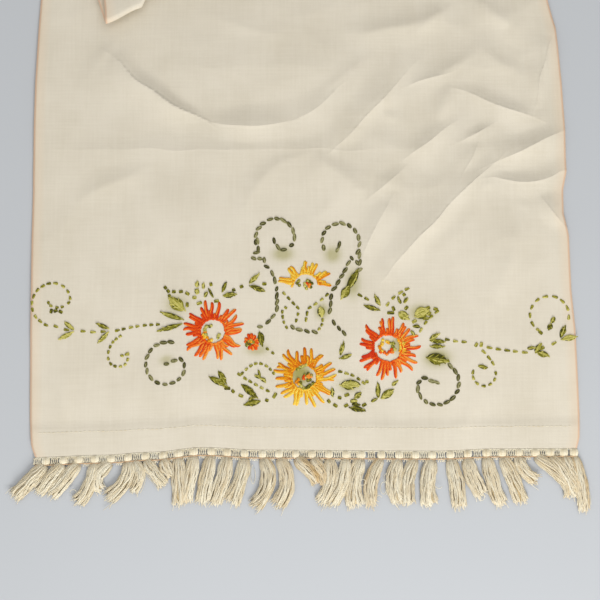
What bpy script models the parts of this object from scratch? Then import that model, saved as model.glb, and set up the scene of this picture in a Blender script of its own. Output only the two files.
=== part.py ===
"""Cream cotton table runner lying on a table, folded back and forth once in its middle.

The cloth is one sheet with a hem at each end. A bought trim of tassels is sewn under each hem.
Along means the distance from the near hem on the flat cloth, and across is measured from its
centre line. The near end lies unturned, so there the flat cloth and the plan are the same.
"""

import math

import bmesh
import bpy
import numpy as np
from mathutils import Matrix, Vector

# Driving sizes in metres, and the millimetre that the tables are written in
MM = 0.001
CLOTH_LENGTH = 0.914
CLOTH_THICKNESS = 0.0013
SEWING_GAP = 0.0003

# Outline of the flat cloth: along, left selvage and right selvage
SELVAGES = (
    (0, -186.0, 187.5),
    (8, -189.0, 189.5),
    (25, -190.5, 190.2),
    (87, -192.0, 188.9),
    (115, -192.3, 186.9),
    (154, -193.0, 186.3),
    (169, -193.0, 182.8),
    (187, -193.0, 183.3),
    (200, -193.3, 185.8),
    (238, -193.7, 185.5),
    (267, -193.5, 184.2),
    (306, -192.3, 181.0),
    (327, -191.4, 175.7),
    (440, -181.0, 176.0),
    (556, -173.0, 178.0),
    (700, -187.0, 187.0),
    (906, -190.0, 190.0),
    (914, -187.0, 187.0),
)

# How far the near hem's edge wanders: across, and the shift away from the near fringe
NEAR_HEM_WAVE = (
    (-186, -1.2),
    (-141, 0.3),
    (-105, 2.4),
    (-71, 5.6),
    (-30, 3.8),
    (90, 3.1),
    (130, 4.6),
    (186, 5.0),
)
FAR_HEM_WAVE = 0.0015
FAR_HEM_WAVELENGTH = 0.340
HEM_WAVE_FADE = 0.060

# The two folds: the back one turns the cloth over, the front one turns it back again
BACK_FOLD_ALONG = 0.455
BACK_FOLD_SLANT = math.radians(8.5)
BACK_FOLD_RADIUS = 0.0045
FRONT_FOLD_ALONG = 0.5557
FRONT_FOLD_SLANT = math.radians(5.0)
FRONT_FOLD_RADIUS = 0.0022

# Heights of the folded layers, and how far from a fold its puffed shape reaches
SECOND_LAYER_TOP = 0.0039
THIRD_LAYER_GAP = 0.0010
FRONT_FOLD_LIFT = 0.0030
BACK_FOLD_REACH = 0.030
FRONT_FOLD_REACH = 0.035
DROP_REACH = 0.060

# The front fold's left corner is pulled forward: plan place across, and the pull
CORNER_PULL = (
    (-190, 28.0),
    (-143, 28.0),
    (-118, 21.5),
    (-113, 13.0),
    (-105, 0.0),
)
CORNER_PULL_REACH = 0.055

# Creases of the near end. Each runs from its start to its end with a bow to its left,
# and falls off over its own width to the left and to the right.
CREASES = (
    # start across, start along, end across, end along, bow, height, left width, right width
    (-152, 297, -45, 236, -7.0, 5.0, 6.0, 13.0),
    (-45, 236, 43, 285, -13.0, 3.6, 6.5, 13.0),
    (-178, 216, 68, 216, 0.0, 1.5, 5.5, 12.0),
    (5, 213, -43, 174, -9.0, 2.0, 13.0, 6.5),
    (5, 213, 45, 182, 0.0, 2.2, 6.5, 12.0),
    (22, 217, 77, 276, 0.0, 2.2, 11.0, 6.0),
    (77, 266, 126, 290, -4.0, 2.6, 8.0, 8.0),
    (126, 290, 152, 271, 0.0, 2.2, 7.0, 9.0),
    (74, 211, 103, 233, 0.0, 2.0, 6.0, 9.0),
    (114, 258, 166, 238, 0.0, 2.4, 6.5, 9.0),
    (163, 252, 175, 300, 3.0, 3.0, 7.0, 8.0),
    (58, 126, 138, 209, 3.0, 5.0, 10.0, 6.5),
    (22, 94, 59, 177, 2.0, 2.6, 7.5, 9.0),
    (132, 205, 184, 230, 0.0, 3.4, 6.5, 8.0),
    (134, 196, 182, 200, -6.0, 2.6, 6.0, 8.0),
    (153, 173, 131, 105, 3.0, 1.8, 12.0, 12.0),
    (124, 326, 150, 306, 0.0, 2.4, 8.0, 8.0),
    (-172, 50, -166, 16, 0.0, 1.0, 6.0, 6.0),
    (116, 40, 110, 16, 0.0, 1.0, 6.0, 6.0),
)
CREASE_FADE_START = 0.322
CREASE_FADE_END = 0.352

# Creases of the far end, in the plan
FAR_CREASES = (
    (-150, 560, 20, 600, -8.0, 3.0, 10.0, 14.0),
    (30, 545, 120, 640, 6.0, 2.6, 9.0, 12.0),
    (-40, 640, 60, 620, 4.0, 1.8, 10.0, 12.0),
)
FAR_CREASE_START = 0.500
FAR_CREASE_FULL = 0.540
FAR_CREASE_FADE = 0.655
FAR_CREASE_END = 0.680

# Fine grid that the cloth is shaped on: rows end at an along, with a spacing and a slant
ROW_BANDS = (
    # end along, spacing, slant in degrees at the end
    (330, 5.0, 0.0),
    (455, 8.0, 8.5),
    (469.2, 2.4, 8.5),
    (555.7, 8.0, 5.0),
    (562.6, 1.4, 5.0),
    (900, 8.0, 0.0),
    (914, 7.0, 0.0),
)
GRID_COLUMNS = 76
KEPT_SHARE = 0.170

# The trim: a flat woven head that carries the tassels
HEAD_DEPTH = 0.0080
HEAD_HALF_WIDTH = 0.1875
BLOCK_HEIGHT = 0.0024
OPENWORK_HEIGHT = 0.0015
BLOCK_HALF_WIDTH = 0.0045

# Each tassel lies on the table as two or three locks of yarn
LOCK_ROOT_WIDTH = 0.0022
LOCK_ROOT_SPACING = 0.0027
LOCK_SPACING = 0.0029
LOCK_CLEARANCE = 0.0006
LOCK_HEIGHT = 0.0021
LOCK_TIP_HEIGHT = 0.0012
LOCK_CREST = 0.66
LOCK_WIDTHS = ((0.0, 2.2), (0.35, 4.6), (0.75, 4.4), (1.0, 2.8))
LOCK_LEVELS = (0.0, 0.008, 0.017, 0.026, 0.039)
EASING_PASSES = 60

# Near tassels, left to right in millimetres: root across, sideways reach of the tip,
# bow of the middle, reach away from the trim, spread of the tip, and number of locks
NEAR_TASSELS = (
    (-178.5, -21.8, 0.0, 19.5, 9.0, 3),
    (-166.5, -17.4, 0.0, 17.5, 9.0, 3),
    (-155.8, -19.4, 0.0, 20.0, 8.0, 3),
    (-144.8, -12.1, 3.2, 25.5, 8.0, 3),
    (-133.5, -6.5, -6.0, 17.0, 7.0, 3),
    (-122.0, -14.4, 5.5, 23.5, 9.0, 3),
    (-117.8, -1.0, 4.5, 19.0, 3.0, 1),
    (-110.0, 13.3, 0.0, 15.5, 6.0, 3),
    (-98.0, 6.3, 0.0, 10.0, 5.0, 2),
    (-87.2, 1.4, 0.0, 30.5, 11.0, 3),
    (-76.6, -5.8, 0.4, 29.0, 9.0, 3),
    (-64.6, -6.9, 0.0, 30.5, 9.0, 3),
    (-53.6, -8.9, 0.9, 31.0, 10.0, 3),
    (-41.7, -9.4, 1.8, 29.5, 10.0, 3),
    (-29.4, -6.0, 7.0, 31.5, 10.0, 3),
    (-18.0, -1.6, 6.1, 31.0, 10.0, 3),
    (-6.5, 16.0, 1.1, 14.5, 7.0, 3),
    (4.8, 9.0, 1.9, 16.5, 6.0, 2),
    (16.4, -6.0, 3.9, 29.0, 10.0, 3),
    (28.2, -10.0, 2.1, 29.8, 9.0, 3),
    (38.8, -4.8, -2.9, 31.0, 12.0, 3),
    (52.5, -7.3, -3.5, 30.5, 5.0, 2),
    (64.8, -0.3, -3.6, 28.0, 10.0, 3),
    (76.0, -5.7, -3.2, 29.5, 9.0, 3),
    (87.5, -2.5, -2.0, 30.0, 11.0, 3),
    (100.2, 6.7, 0.4, 32.0, 9.0, 3),
    (112.1, 10.1, -2.0, 24.0, 9.0, 3),
    (125.0, 9.8, -0.8, 31.0, 9.0, 3),
    (135.9, 13.3, 0.7, 29.5, 10.0, 3),
    (147.3, 12.0, -3.0, 14.5, 6.0, 3),
    (158.5, 25.5, 4.5, 23.5, 8.0, 3),
    (168.8, 14.0, 3.2, 26.0, 8.0, 3),
    (178.4, 13.1, -1.1, 22.0, 8.0, 3),
    (185.3, 5.7, 1.1, 35.5, 7.0, 2),
)

# Far tassels: an even row with a slow sway
FAR_TASSEL_COUNT = 33
FAR_TASSEL_PITCH = 11.3
FAR_TASSEL_REACH = 29.0
FAR_TASSEL_SWAY = 4.0
FAR_TASSEL_SPREAD = 8.0
FAR_TASSEL_LOCKS = 2

# Colours, roughness
CLOTH_COLOUR = (0.72, 0.66, 0.55, 1.0)
FRINGE_COLOUR = (0.74, 0.66, 0.48, 1.0)
CLOTH_ROUGHNESS = 0.85
FRINGE_ROUGHNESS = 0.90


def smooth_step(value):
    """Ease from 0 to 1 with level ends."""
    held = np.clip(value, 0.0, 1.0)
    return held * held * (3.0 - 2.0 * held)


def bell(value):
    """Soft bump of height 1 around 0."""
    return np.exp(-value * value)


def soft_table(place, table):
    """Value read from a table of places and values in millimetres, eased between its rows."""
    place = np.asarray(place, dtype=float)
    keys = [row[0] * MM for row in table]
    values = [row[1] * MM for row in table]
    result = np.full(place.shape, values[0])
    for index in range(1, len(keys)):
        share = smooth_step((place - keys[index - 1]) / (keys[index] - keys[index - 1]))
        result = result + share * (values[index] - values[index - 1])
    return result


def clear_scene():
    """Remove every object, so that the model starts in an empty file."""
    for item in list(bpy.data.objects):
        bpy.data.objects.remove(item, do_unlink=True)


def cloth_material(name, colour, roughness):
    """Plain woven finish for one part."""
    material = bpy.data.materials.new(name)
    material.use_nodes = True
    shader = material.node_tree.nodes["Principled BSDF"]
    shader.inputs["Base Color"].default_value = colour
    shader.inputs["Roughness"].default_value = roughness
    shader.inputs["Metallic"].default_value = 0.0
    return material


def crease_height(across, along, creases):
    """Height that a table of creases gives the cloth at each place in the plan."""
    height = np.zeros_like(across)
    for x0, y0, x1, y1, bow, rise, left, right in creases:
        start = np.array((x0, y0)) * MM
        run = np.array((x1 - x0, y1 - y0)) * MM
        length = float(np.hypot(*run))
        run = run / length
        away_x = across - start[0]
        away_y = along - start[1]
        share = (away_x * run[0] + away_y * run[1]) / length
        held = np.clip(share, 0.0, 1.0)
        side = away_y * run[0] - away_x * run[1] - 4.0 * bow * MM * held * (1.0 - held)
        past = (share - held) * length
        width = np.where(side > 0.0, left, right) * MM
        fade = np.sqrt(np.clip(np.sin(math.pi * np.clip(held, 0.04, 0.96)), 0.0, 1.0))
        height = np.maximum(height, rise * MM * fade * bell(side / width) * bell(past / (7.0 * MM)))
    return height


def far_hem_wave(across):
    """Slow wander of the far hem's edge."""
    return FAR_HEM_WAVE * np.sin(2.0 * math.pi * across / FAR_HEM_WAVELENGTH)


def past_fold(across, along, fold_along, slant):
    """Distance of a flat point past a fold's line, and the line's own direction of travel."""
    travel = (-math.sin(slant), math.cos(slant))
    distance = across * travel[0] + (along - fold_along) * travel[1]
    return distance, travel


def fold_over(distance, radius):
    """Plan reach past a fold's line, and rise, at a distance along the cloth past that line."""
    turn = np.clip(distance / radius, 0.0, math.pi)
    before = np.minimum(distance, 0.0)
    after = np.maximum(distance - math.pi * radius, 0.0)
    return radius * np.sin(turn) + before - after, radius * (1.0 - np.cos(turn))


def lay_out(across, along):
    """Place of the cloth's back at points of the flat cloth, folded back and forth."""
    x = np.array(across, dtype=float)
    y = np.array(along, dtype=float)
    y = y + soft_table(x, NEAR_HEM_WAVE) * np.exp(-y / HEM_WAVE_FADE)
    y = y + far_hem_wave(x) * np.exp((y - CLOTH_LENGTH) / HEM_WAVE_FADE)

    past_front, travel = past_fold(x, y, FRONT_FOLD_ALONG, FRONT_FOLD_SLANT)
    front_reach, front_rise = fold_over(past_front, FRONT_FOLD_RADIUS)
    x = x + travel[0] * (front_reach - past_front)
    y = y + travel[1] * (front_reach - past_front)
    on_top = past_front > 0.0

    past_back, travel = past_fold(x, y, BACK_FOLD_ALONG, BACK_FOLD_SLANT)
    back_reach, back_rise = fold_over(past_back, BACK_FOLD_RADIUS)
    turned = math.pi * BACK_FOLD_RADIUS - past_back
    back_reach = np.where(on_top, turned, back_reach)
    x = x + travel[0] * (back_reach - past_back)
    y = y + travel[1] * (back_reach - past_back)

    from_front = np.maximum(-front_reach, 0.0)
    from_back = np.maximum(-back_reach, 0.0)
    second = (past_back > math.pi * BACK_FOLD_RADIUS) | on_top
    pull = soft_table(x, CORNER_PULL) * bell(from_front / CORNER_PULL_REACH)
    y = y - np.where(second, pull, 0.0)

    pile = SECOND_LAYER_TOP + (2.0 * BACK_FOLD_RADIUS - SECOND_LAYER_TOP) * bell(from_back / BACK_FOLD_REACH)
    pile = pile + FRONT_FOLD_LIFT * bell(from_front / FRONT_FOLD_REACH)
    settled = 2.0 * FRONT_FOLD_RADIUS - THIRD_LAYER_GAP
    top_gap = front_rise - settled * (1.0 - bell(from_front / FRONT_FOLD_REACH))
    drop = 1.0 - smooth_step(np.maximum(back_reach, 0.0) / DROP_REACH)
    near = crease_height(x, y, CREASES)
    near = near * (1.0 - smooth_step((y - CREASE_FADE_START) / (CREASE_FADE_END - CREASE_FADE_START)))
    far = crease_height(x, y, FAR_CREASES)
    far = far * smooth_step((y - FAR_CREASE_START) / (FAR_CREASE_FULL - FAR_CREASE_START))
    far = far * (1.0 - smooth_step((y - FAR_CREASE_FADE) / (FAR_CREASE_END - FAR_CREASE_FADE)))

    first_layer = near + back_rise
    third_layer = (pile + top_gap) * drop + far
    z = np.where(on_top, third_layer, np.where(second, pile, first_layer))
    return x, y, z


def grid_rows():
    """Along and slant of every row of the cloth's grid."""
    rows = [(0.0, 0.0)]
    start = 0.0
    slant = 0.0
    for end, spacing, end_slant in ROW_BANDS:
        steps = max(1, round((end - start) / spacing))
        for step in range(1, steps + 1):
            share = step / steps
            tilt = math.radians(slant + share * (end_slant - slant))
            rows.append(((start + share * (end - start)) * MM, math.tan(tilt)))
        start = end
        slant = end_slant
    return rows


def selvage(along, side):
    """Across of one selvage on the flat cloth."""
    return float(np.interp(along, [row[0] * MM for row in SELVAGES], [row[side] * MM for row in SELVAGES]))


def flat_grid():
    """Across and along of the grid's points on the flat cloth, one line for each row."""
    across = []
    along = []
    for row_along, slope in grid_rows():
        left = selvage(row_along + slope * selvage(row_along, 1), 1)
        right = selvage(row_along + slope * selvage(row_along, 2), 2)
        line = np.linspace(left, right, GRID_COLUMNS + 1)
        across.append(line)
        along.append(row_along + slope * line)
    return np.array(across), np.array(along)


def build_cloth(material):
    """One sheet of cloth, shaped on a fine grid and given its thickness."""
    across, along = flat_grid()
    x, y, z = lay_out(across, along)
    rows, columns = x.shape
    bm = bmesh.new()
    bmesh.ops.create_grid(bm, x_segments=columns - 1, y_segments=rows - 1, size=0.5)
    bm.verts.ensure_lookup_table()
    order = sorted(bm.verts, key=lambda vert: (round(vert.co.y, 6), round(vert.co.x, 6)))
    for index, vert in enumerate(order):
        row, column = divmod(index, columns)
        vert.co = (x[row, column], y[row, column], max(0.0, z[row, column]))
    cloth = mesh_object("cloth", bm, material)
    coarse = cloth.modifiers.new("fewer flat faces", "DECIMATE")
    coarse.ratio = KEPT_SHARE
    thick = cloth.modifiers.new("thickness of the cloth", "SOLIDIFY")
    thick.thickness = CLOTH_THICKNESS
    thick.offset = 1.0
    return cloth


def mesh_object(name, bm, material):
    """Object made from a finished bmesh, in the runner's collection."""
    mesh = bpy.data.meshes.new(name)
    bm.to_mesh(mesh)
    bm.free()
    mesh.materials.append(material)
    item = bpy.data.objects.new(name, mesh)
    bpy.data.collections["table_runner"].objects.link(item)
    return item


def far_tassels():
    """Rows of the far tassels, in the same columns as the near ones."""
    rows = []
    for index in range(FAR_TASSEL_COUNT):
        root = (index - (FAR_TASSEL_COUNT - 1) / 2) * FAR_TASSEL_PITCH
        sway = FAR_TASSEL_SWAY * math.sin(1.1 * index) + 0.02 * root
        reach = FAR_TASSEL_REACH + 1.5 * math.sin(2.3 * index)
        rows.append((root, sway, 1.5 * math.sin(0.7 * index), reach, FAR_TASSEL_SPREAD, FAR_TASSEL_LOCKS))
    return rows


def ease_apart(places, spacing):
    """Push neighbours in a row apart until they keep their spacing."""
    places = list(places)
    for _ in range(EASING_PASSES):
        for index in range(1, len(places)):
            short = spacing - (places[index] - places[index - 1])
            if short > 0.0:
                places[index - 1] -= short / 2
                places[index] += short / 2
    return places


def lock_paths(tassels):
    """Across of every lock at each level that it reaches, with its own reach."""
    locks = []
    for root, tip, bow, reach, spread, count in tassels:
        for number in range(count):
            place = number - (count - 1) / 2
            shift = place * spread / max(1, count - 1)
            offset = place * LOCK_ROOT_SPACING / MM
            locks.append({"root": root + offset, "tip": tip + shift - offset, "bow": bow, "reach": reach * MM})
    for lock in locks:
        lock["places"] = []
    for index, level in enumerate(LOCK_LEVELS):
        before = LOCK_LEVELS[max(0, index - 1)]
        present = [lock for lock in locks if index == 0 or before < lock["reach"]]
        wanted = []
        for lock in present:
            share = level / lock["reach"]
            held = min(share, 1.0)
            bowed = 4.0 * lock["bow"] * held * (1.0 - held)
            wanted.append((lock["root"] + lock["tip"] * share + bowed) * MM)
        spacing = LOCK_ROOT_SPACING if index == 0 else LOCK_SPACING
        for lock, place in zip(present, ease_apart(wanted, spacing)):
            lock["places"].append(place)
    return locks


def lock_rings(locks, number):
    """Sections of one lock below its root: depth, left, right and height."""
    lock = locks[number]
    rings = []
    for index in range(1, len(lock["places"])):
        above = LOCK_LEVELS[index - 1]
        level = LOCK_LEVELS[index]
        depth = min(level, lock["reach"])
        part = (depth - above) / (level - above)
        centre = lock["places"][index - 1] + part * (lock["places"][index] - lock["places"][index - 1])
        share = depth / lock["reach"]
        half = float(np.interp(share, *zip(*LOCK_WIDTHS))) * MM / 2
        left = min(half, free_side(locks, number, -1, index, part, centre))
        right = min(half, free_side(locks, number, 1, index, part, centre))
        height = LOCK_HEIGHT + share * share * (LOCK_TIP_HEIGHT - LOCK_HEIGHT)
        rings.append((depth, centre - left, centre + right, height))
    return rings


def free_side(locks, number, side, index, part, centre):
    """Half the room to the next lock on one side, less the clearance."""
    if not 0 <= number + side < len(locks):
        return 1.0
    other = locks[number + side]["places"]
    if index >= len(other):
        return 1.0 if index > len(other) else abs(other[-1] - centre) / 2 - LOCK_CLEARANCE
    place = other[index - 1] + part * (other[index] - other[index - 1])
    return abs(place - centre) / 2 - LOCK_CLEARANCE


def head_top(x, tassels):
    """Height of the trim's head: a raised block over each tassel, openwork between."""
    nearest = min(abs(x - row[0] * MM) for row in tassels)
    return BLOCK_HEIGHT if nearest < BLOCK_HALF_WIDTH else OPENWORK_HEIGHT


def build_fringe(name, tassels, hem_edge, material):
    """Trim with its head under the hem and its tassels lying towards -Y."""
    locks = lock_paths(tassels)
    cuts = []
    for lock in locks:
        cuts.append(lock["places"][0] - LOCK_ROOT_WIDTH / 2)
        cuts.append(lock["places"][0] + LOCK_ROOT_WIDTH / 2)
    bm = bmesh.new()
    bmesh.ops.create_cube(bm, size=1.0, matrix=Matrix.Diagonal((2 * HEAD_HALF_WIDTH, 1.0, 1.0, 1.0)))
    for cut in cuts:
        everything = bm.verts[:] + bm.edges[:] + bm.faces[:]
        bmesh.ops.bisect_plane(bm, geom=everything, plane_co=(cut, 0, 0), plane_no=(1, 0, 0))
    fronts = sorted((face for face in bm.faces if face.normal.y < -0.5), key=face_place)
    roots = fronts[1::2]
    for vert in bm.verts:
        edge = hem_edge(vert.co.x) - SEWING_GAP
        vert.co.y = edge if vert.co.y > 0 else edge - HEAD_DEPTH
        vert.co.z = head_top(vert.co.x, tassels) if vert.co.z > 0 else 0.0
    for number, face in enumerate(roots):
        root_y = face.calc_center_median().y
        for ring in lock_rings(locks, number):
            face = grow_lock(bm, face, root_y, ring)
    return mesh_object(name, bm, material)


def face_place(face):
    """Across of a face's middle."""
    return face.calc_center_median().x


def grow_lock(bm, face, root_y, ring):
    """Extrude a lock's end face to its next section and give back the new end face."""
    depth, left, right, height = ring
    end = bmesh.ops.extrude_discrete_faces(bm, faces=[face])["faces"][0]
    by_place = sorted(end.verts, key=lambda vert: vert.co.x)
    inset = (right - left) * (1.0 - LOCK_CREST) / 2
    for pair, base, crest in ((by_place[:2], left, left + inset), (by_place[2:], right, right - inset)):
        low, high = sorted(pair, key=lambda vert: vert.co.z)
        low.co = (base, root_y - depth, 0.0)
        high.co = (crest, root_y - depth, height)
    return end


def turn_to_far_end(fringe):
    """Carry a fringe made at the near end to the far hem."""
    ends_x, ends_y, _ = lay_out(np.array((-0.1, 0.0, 0.1)), np.full(3, CLOTH_LENGTH))
    wave = far_hem_wave(np.array((-0.1, 0.1)))
    direction = math.atan2(ends_y[2] - ends_y[0] - (wave[1] - wave[0]), ends_x[2] - ends_x[0])
    place = Matrix.Translation((ends_x[1], ends_y[1], 0.0))
    fringe.data.transform(place @ Matrix.Rotation(direction + math.pi, 4, "Z"))


def near_hem_edge(across):
    """Plan place of the near hem's edge."""
    return float(soft_table(across, NEAR_HEM_WAVE))


def far_hem_edge(across):
    """Place of the far hem's edge, seen from the far end."""
    return float(-far_hem_wave(-across))


def centre_on_floor(items):
    """Put the middle of the whole runner's footprint at the origin."""
    bpy.context.view_layer.update()
    graph = bpy.context.evaluated_depsgraph_get()
    corners = []
    for item in items:
        corners += [Vector(corner) for corner in item.evaluated_get(graph).bound_box]
    middle_x = (min(c.x for c in corners) + max(c.x for c in corners)) / 2
    middle_y = (min(c.y for c in corners) + max(c.y for c in corners)) / 2
    for item in items:
        item.data.transform(Matrix.Translation((-middle_x, -middle_y, 0.0)))


def build_runner():
    """The whole runner: the cloth and the trim at each end."""
    clear_scene()
    collection = bpy.data.collections.new("table_runner")
    bpy.context.scene.collection.children.link(collection)
    cotton = cloth_material("cream cotton", CLOTH_COLOUR, CLOTH_ROUGHNESS)
    yarn = cloth_material("cream yarn", FRINGE_COLOUR, FRINGE_ROUGHNESS)
    cloth = build_cloth(cotton)
    near = build_fringe("fringe_near", NEAR_TASSELS, near_hem_edge, yarn)
    far = build_fringe("fringe_far", far_tassels(), far_hem_edge, yarn)
    turn_to_far_end(far)
    centre_on_floor([cloth, near, far])


build_runner()
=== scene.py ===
"""Cream cotton table runner, embroidered and fringed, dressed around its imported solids.

Across is measured from the runner's centre line and along from its near hem, on the flat cloth.
Sizes are in metres, and the tables are in millimetres and degrees.
"""

import math
from collections import namedtuple

import bpy
import numpy as np
from bpy.props import FloatProperty, FloatVectorProperty, IntProperty, PointerProperty
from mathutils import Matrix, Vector


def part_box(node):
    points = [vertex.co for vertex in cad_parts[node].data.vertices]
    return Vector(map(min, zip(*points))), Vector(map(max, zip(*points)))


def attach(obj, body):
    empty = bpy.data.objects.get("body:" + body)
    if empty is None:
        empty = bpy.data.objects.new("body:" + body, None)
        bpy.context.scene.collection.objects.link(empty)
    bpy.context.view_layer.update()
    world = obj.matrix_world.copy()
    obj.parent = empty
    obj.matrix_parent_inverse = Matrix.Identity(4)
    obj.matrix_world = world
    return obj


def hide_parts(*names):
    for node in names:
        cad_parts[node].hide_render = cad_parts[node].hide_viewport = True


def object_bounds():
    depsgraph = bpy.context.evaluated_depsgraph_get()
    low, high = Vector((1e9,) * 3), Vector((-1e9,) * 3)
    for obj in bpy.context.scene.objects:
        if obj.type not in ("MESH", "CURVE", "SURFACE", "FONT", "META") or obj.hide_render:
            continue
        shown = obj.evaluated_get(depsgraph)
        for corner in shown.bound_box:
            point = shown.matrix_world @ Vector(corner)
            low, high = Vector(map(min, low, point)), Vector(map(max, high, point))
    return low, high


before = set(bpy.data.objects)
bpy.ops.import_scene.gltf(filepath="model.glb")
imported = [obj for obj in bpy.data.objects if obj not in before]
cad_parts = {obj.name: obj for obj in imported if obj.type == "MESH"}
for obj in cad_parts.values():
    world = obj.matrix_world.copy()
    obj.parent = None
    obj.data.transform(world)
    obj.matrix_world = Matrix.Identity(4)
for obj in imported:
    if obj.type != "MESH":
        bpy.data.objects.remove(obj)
CAD_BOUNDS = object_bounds()

bl_info = {
    "name": "Embroidered Table Runner",
    "version": (1, 0, 0),
    "blender": (4, 5, 0),
    "location": "3D View > Sidebar > Runner",
    "description": "Lays out a folded cotton table runner with its trims and its embroidery",
    "category": "Add Mesh",
}

MM = 0.001
CLOTH_LENGTH = 0.914
HEM_DEPTH = 0.0165

# Outline of the flat cloth: along, left selvage and right selvage
SELVAGES = (
    (0, -186, 187.5),
    (8, -189, 189.5),
    (25, -190.5, 190.2),
    (87, -192, 188.9),
    (115, -192.3, 186.9),
    (154, -193, 186.3),
    (169, -193, 182.8),
    (187, -193, 183.3),
    (200, -193.3, 185.8),
    (238, -193.7, 185.5),
    (267, -193.5, 184.2),
    (306, -192.3, 181),
    (327, -191.4, 175.7),
    (440, -181, 176),
    (556, -173, 178),
    (700, -187, 187),
    (906, -190, 190),
    (914, -187, 187),
)

# How far the near hem's edge wanders: across, and the shift away from the near trim
NEAR_HEM_WAVE = (
    (-186, -1.2),
    (-141, 0.3),
    (-105, 2.4),
    (-71, 5.6),
    (-30, 3.8),
    (90, 3.1),
    (130, 4.6),
    (186, 5),
)
FAR_HEM_WAVE = 0.0015
FAR_HEM_WAVELENGTH = 0.340
HEM_WAVE_FADE = 0.060

# The two folds: the back one turns the cloth over, the front one turns it back again
BACK_FOLD_ALONG = 0.455
BACK_FOLD_SLANT = math.radians(8.5)
BACK_FOLD_RADIUS = 0.0045
FRONT_FOLD_ALONG = 0.5557
FRONT_FOLD_SLANT = math.radians(5.0)
FRONT_FOLD_RADIUS = 0.0022

# Heights of the folded layers, and how far from a fold its puffed shape reaches
SECOND_LAYER_TOP = 0.0039
THIRD_LAYER_GAP = 0.0010
FRONT_FOLD_LIFT = 0.0030
BACK_FOLD_REACH = 0.030
FRONT_FOLD_REACH = 0.035
DROP_REACH = 0.060

# The front fold's left corner is pulled forward: plan place across, and the pull
CORNER_PULL = (
    (-190, 28),
    (-143, 28),
    (-118, 21.5),
    (-113, 13),
    (-105, 0),
)
CORNER_PULL_REACH = 0.055

# Creases of the near end. Each runs from its start to its end with a bow to its left,
# and falls off over its own width to the left and to the right. A taper over 0 draws it
# in towards its end, and one under 0 towards its start.
CREASES = (
    # start across, start along, end across, end along, bow, height, left width, right width,
    # taper, group of crisp crests
    (-141, 287, -70, 237, -5.5, 4.2, 5, 14, 1.2, 1),
    (-70, 237, -7, 238, -4.5, 3, 9, 8, -0.5, 2),
    (-7, 238, 24, 262, -3, 2.4, 9, 8, 0.3, 1),
    (-178, 216, 68, 216, 0, 0.9, 5.5, 12, 0, 3),
    (5, 213, -43, 174, -9, 1.7, 13, 7.5, 0, 0),
    (5, 213, 45, 182, 0, 2.2, 7.5, 13, 0, 0),
    (22, 217, 77, 276, 0, 2.6, 11, 6, -0.6, 1),
    (77, 266, 126, 290, -4, 2.3, 8, 8, 0, 0),
    (126, 290, 152, 271, 0, 2.3, 7, 9, 0, 0),
    (74, 211, 103, 233, 0, 2.4, 6, 8, 0, 2),
    (114, 258, 166, 238, 0, 3.2, 5, 8, -0.4, 1),
    (166, 250, 179, 300, 2, 3, 8, 5, -0.5, 2),
    (58, 126, 138, 209, 3, 3.5, 11, 6.5, 0, 1),
    (41, 138, 60, 179, 1, 2.2, 6, 9, 0, 2),
    (132, 205, 184, 230, 0, 3.4, 6.5, 8, 0, 2),
    (134, 196, 182, 200, -6, 3, 5, 7, 0, 3),
    (153, 173, 131, 105, 3, 1.8, 12, 12, 0, 0),
    (124, 326, 150, 306, 0, 3.2, 8, 8, 0, 0),
    (-172, 50, -166, 16, 0, 1, 6, 6, 0, 0),
    (116, 40, 110, 16, 0, 1, 6, 6, 0, 0),
    (47, 182, 68, 200, 0, 1.6, 5, 6, 0, 1),
    (113, 223, 131, 233, 0, 1.8, 3, 6, 0, 3),
    (112, 196, 123, 221, 0, 1.6, 8, 5, 0, 4),
    (167, 182, 183, 162, 0, 2, 6, 7, 0, 4),
    (80, 303, 101, 318, 0, 2.8, 7, 7, 0, 0),
    (75, 263, 103, 272, 1.5, 1.8, 3.5, 6, 0, 3),
    (-160, 179, -109, 205, 0, 1, 8, 8, 0, 0),
    (-95, 280, -20, 262, 2, 1, 12, 9, 0, 0),
    (-85, 274, 35, 276, 2, 1.5, 26, 20, 0, 0),
    (-70, 316, -10, 300, -3, 1.2, 9, 10, 0, 0),
    (105, 265, 95, 236, 0, 1.6, 5, 7, 0, 0),
    (53, 245, 66, 238, 0, 1.2, 4, 5, 0, 0),
    (128, 187, 131, 197, 0, 1.2, 4, 4, 0, 0),
    (6, 252, 45, 284, 0, 1.4, 7, 12, 0, 0),
    (34, 302, 98, 316, -4, 2.2, 7, 9, 0, 0),
)
CREST_GROUPS = (1, 2, 3, 4)
CREST_REACH = 0.008
GENTLEST_CREST = 0.02
CREASE_WANDER = 0.0011
WANDER_LENGTH = 0.032
CREASE_UNEVENNESS = 0.22
UNEVENNESS_LENGTH = 0.045
CREASE_BLEND = 3.0
CREASE_END = 0.007
CREASE_FOOT = 2.2
CREASE_ROUNDING = 0.06
CREASE_FADE_START = 0.322
CREASE_FADE_END = 0.352

# Creases of the far end, in the plan, with the same columns up to the taper
FAR_CREASES = (
    (-150, 560, 20, 600, -8, 3, 10, 14, 0),
    (30, 545, 120, 640, 6, 2.6, 9, 12, 0),
    (-40, 640, 60, 620, 4, 1.8, 10, 12, 0),
)
FAR_CREASE_START = 0.500
FAR_CREASE_FULL = 0.540
FAR_CREASE_FADE = 0.655
FAR_CREASE_END = 0.680

# A hem's upper layer eases down past its stitches, which pull it in along a groove
HEM_EASE_LEAD = 0.0005
HEM_EASE_REACH = 0.008
HEM_GROOVE_REACH = 0.0011

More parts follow.
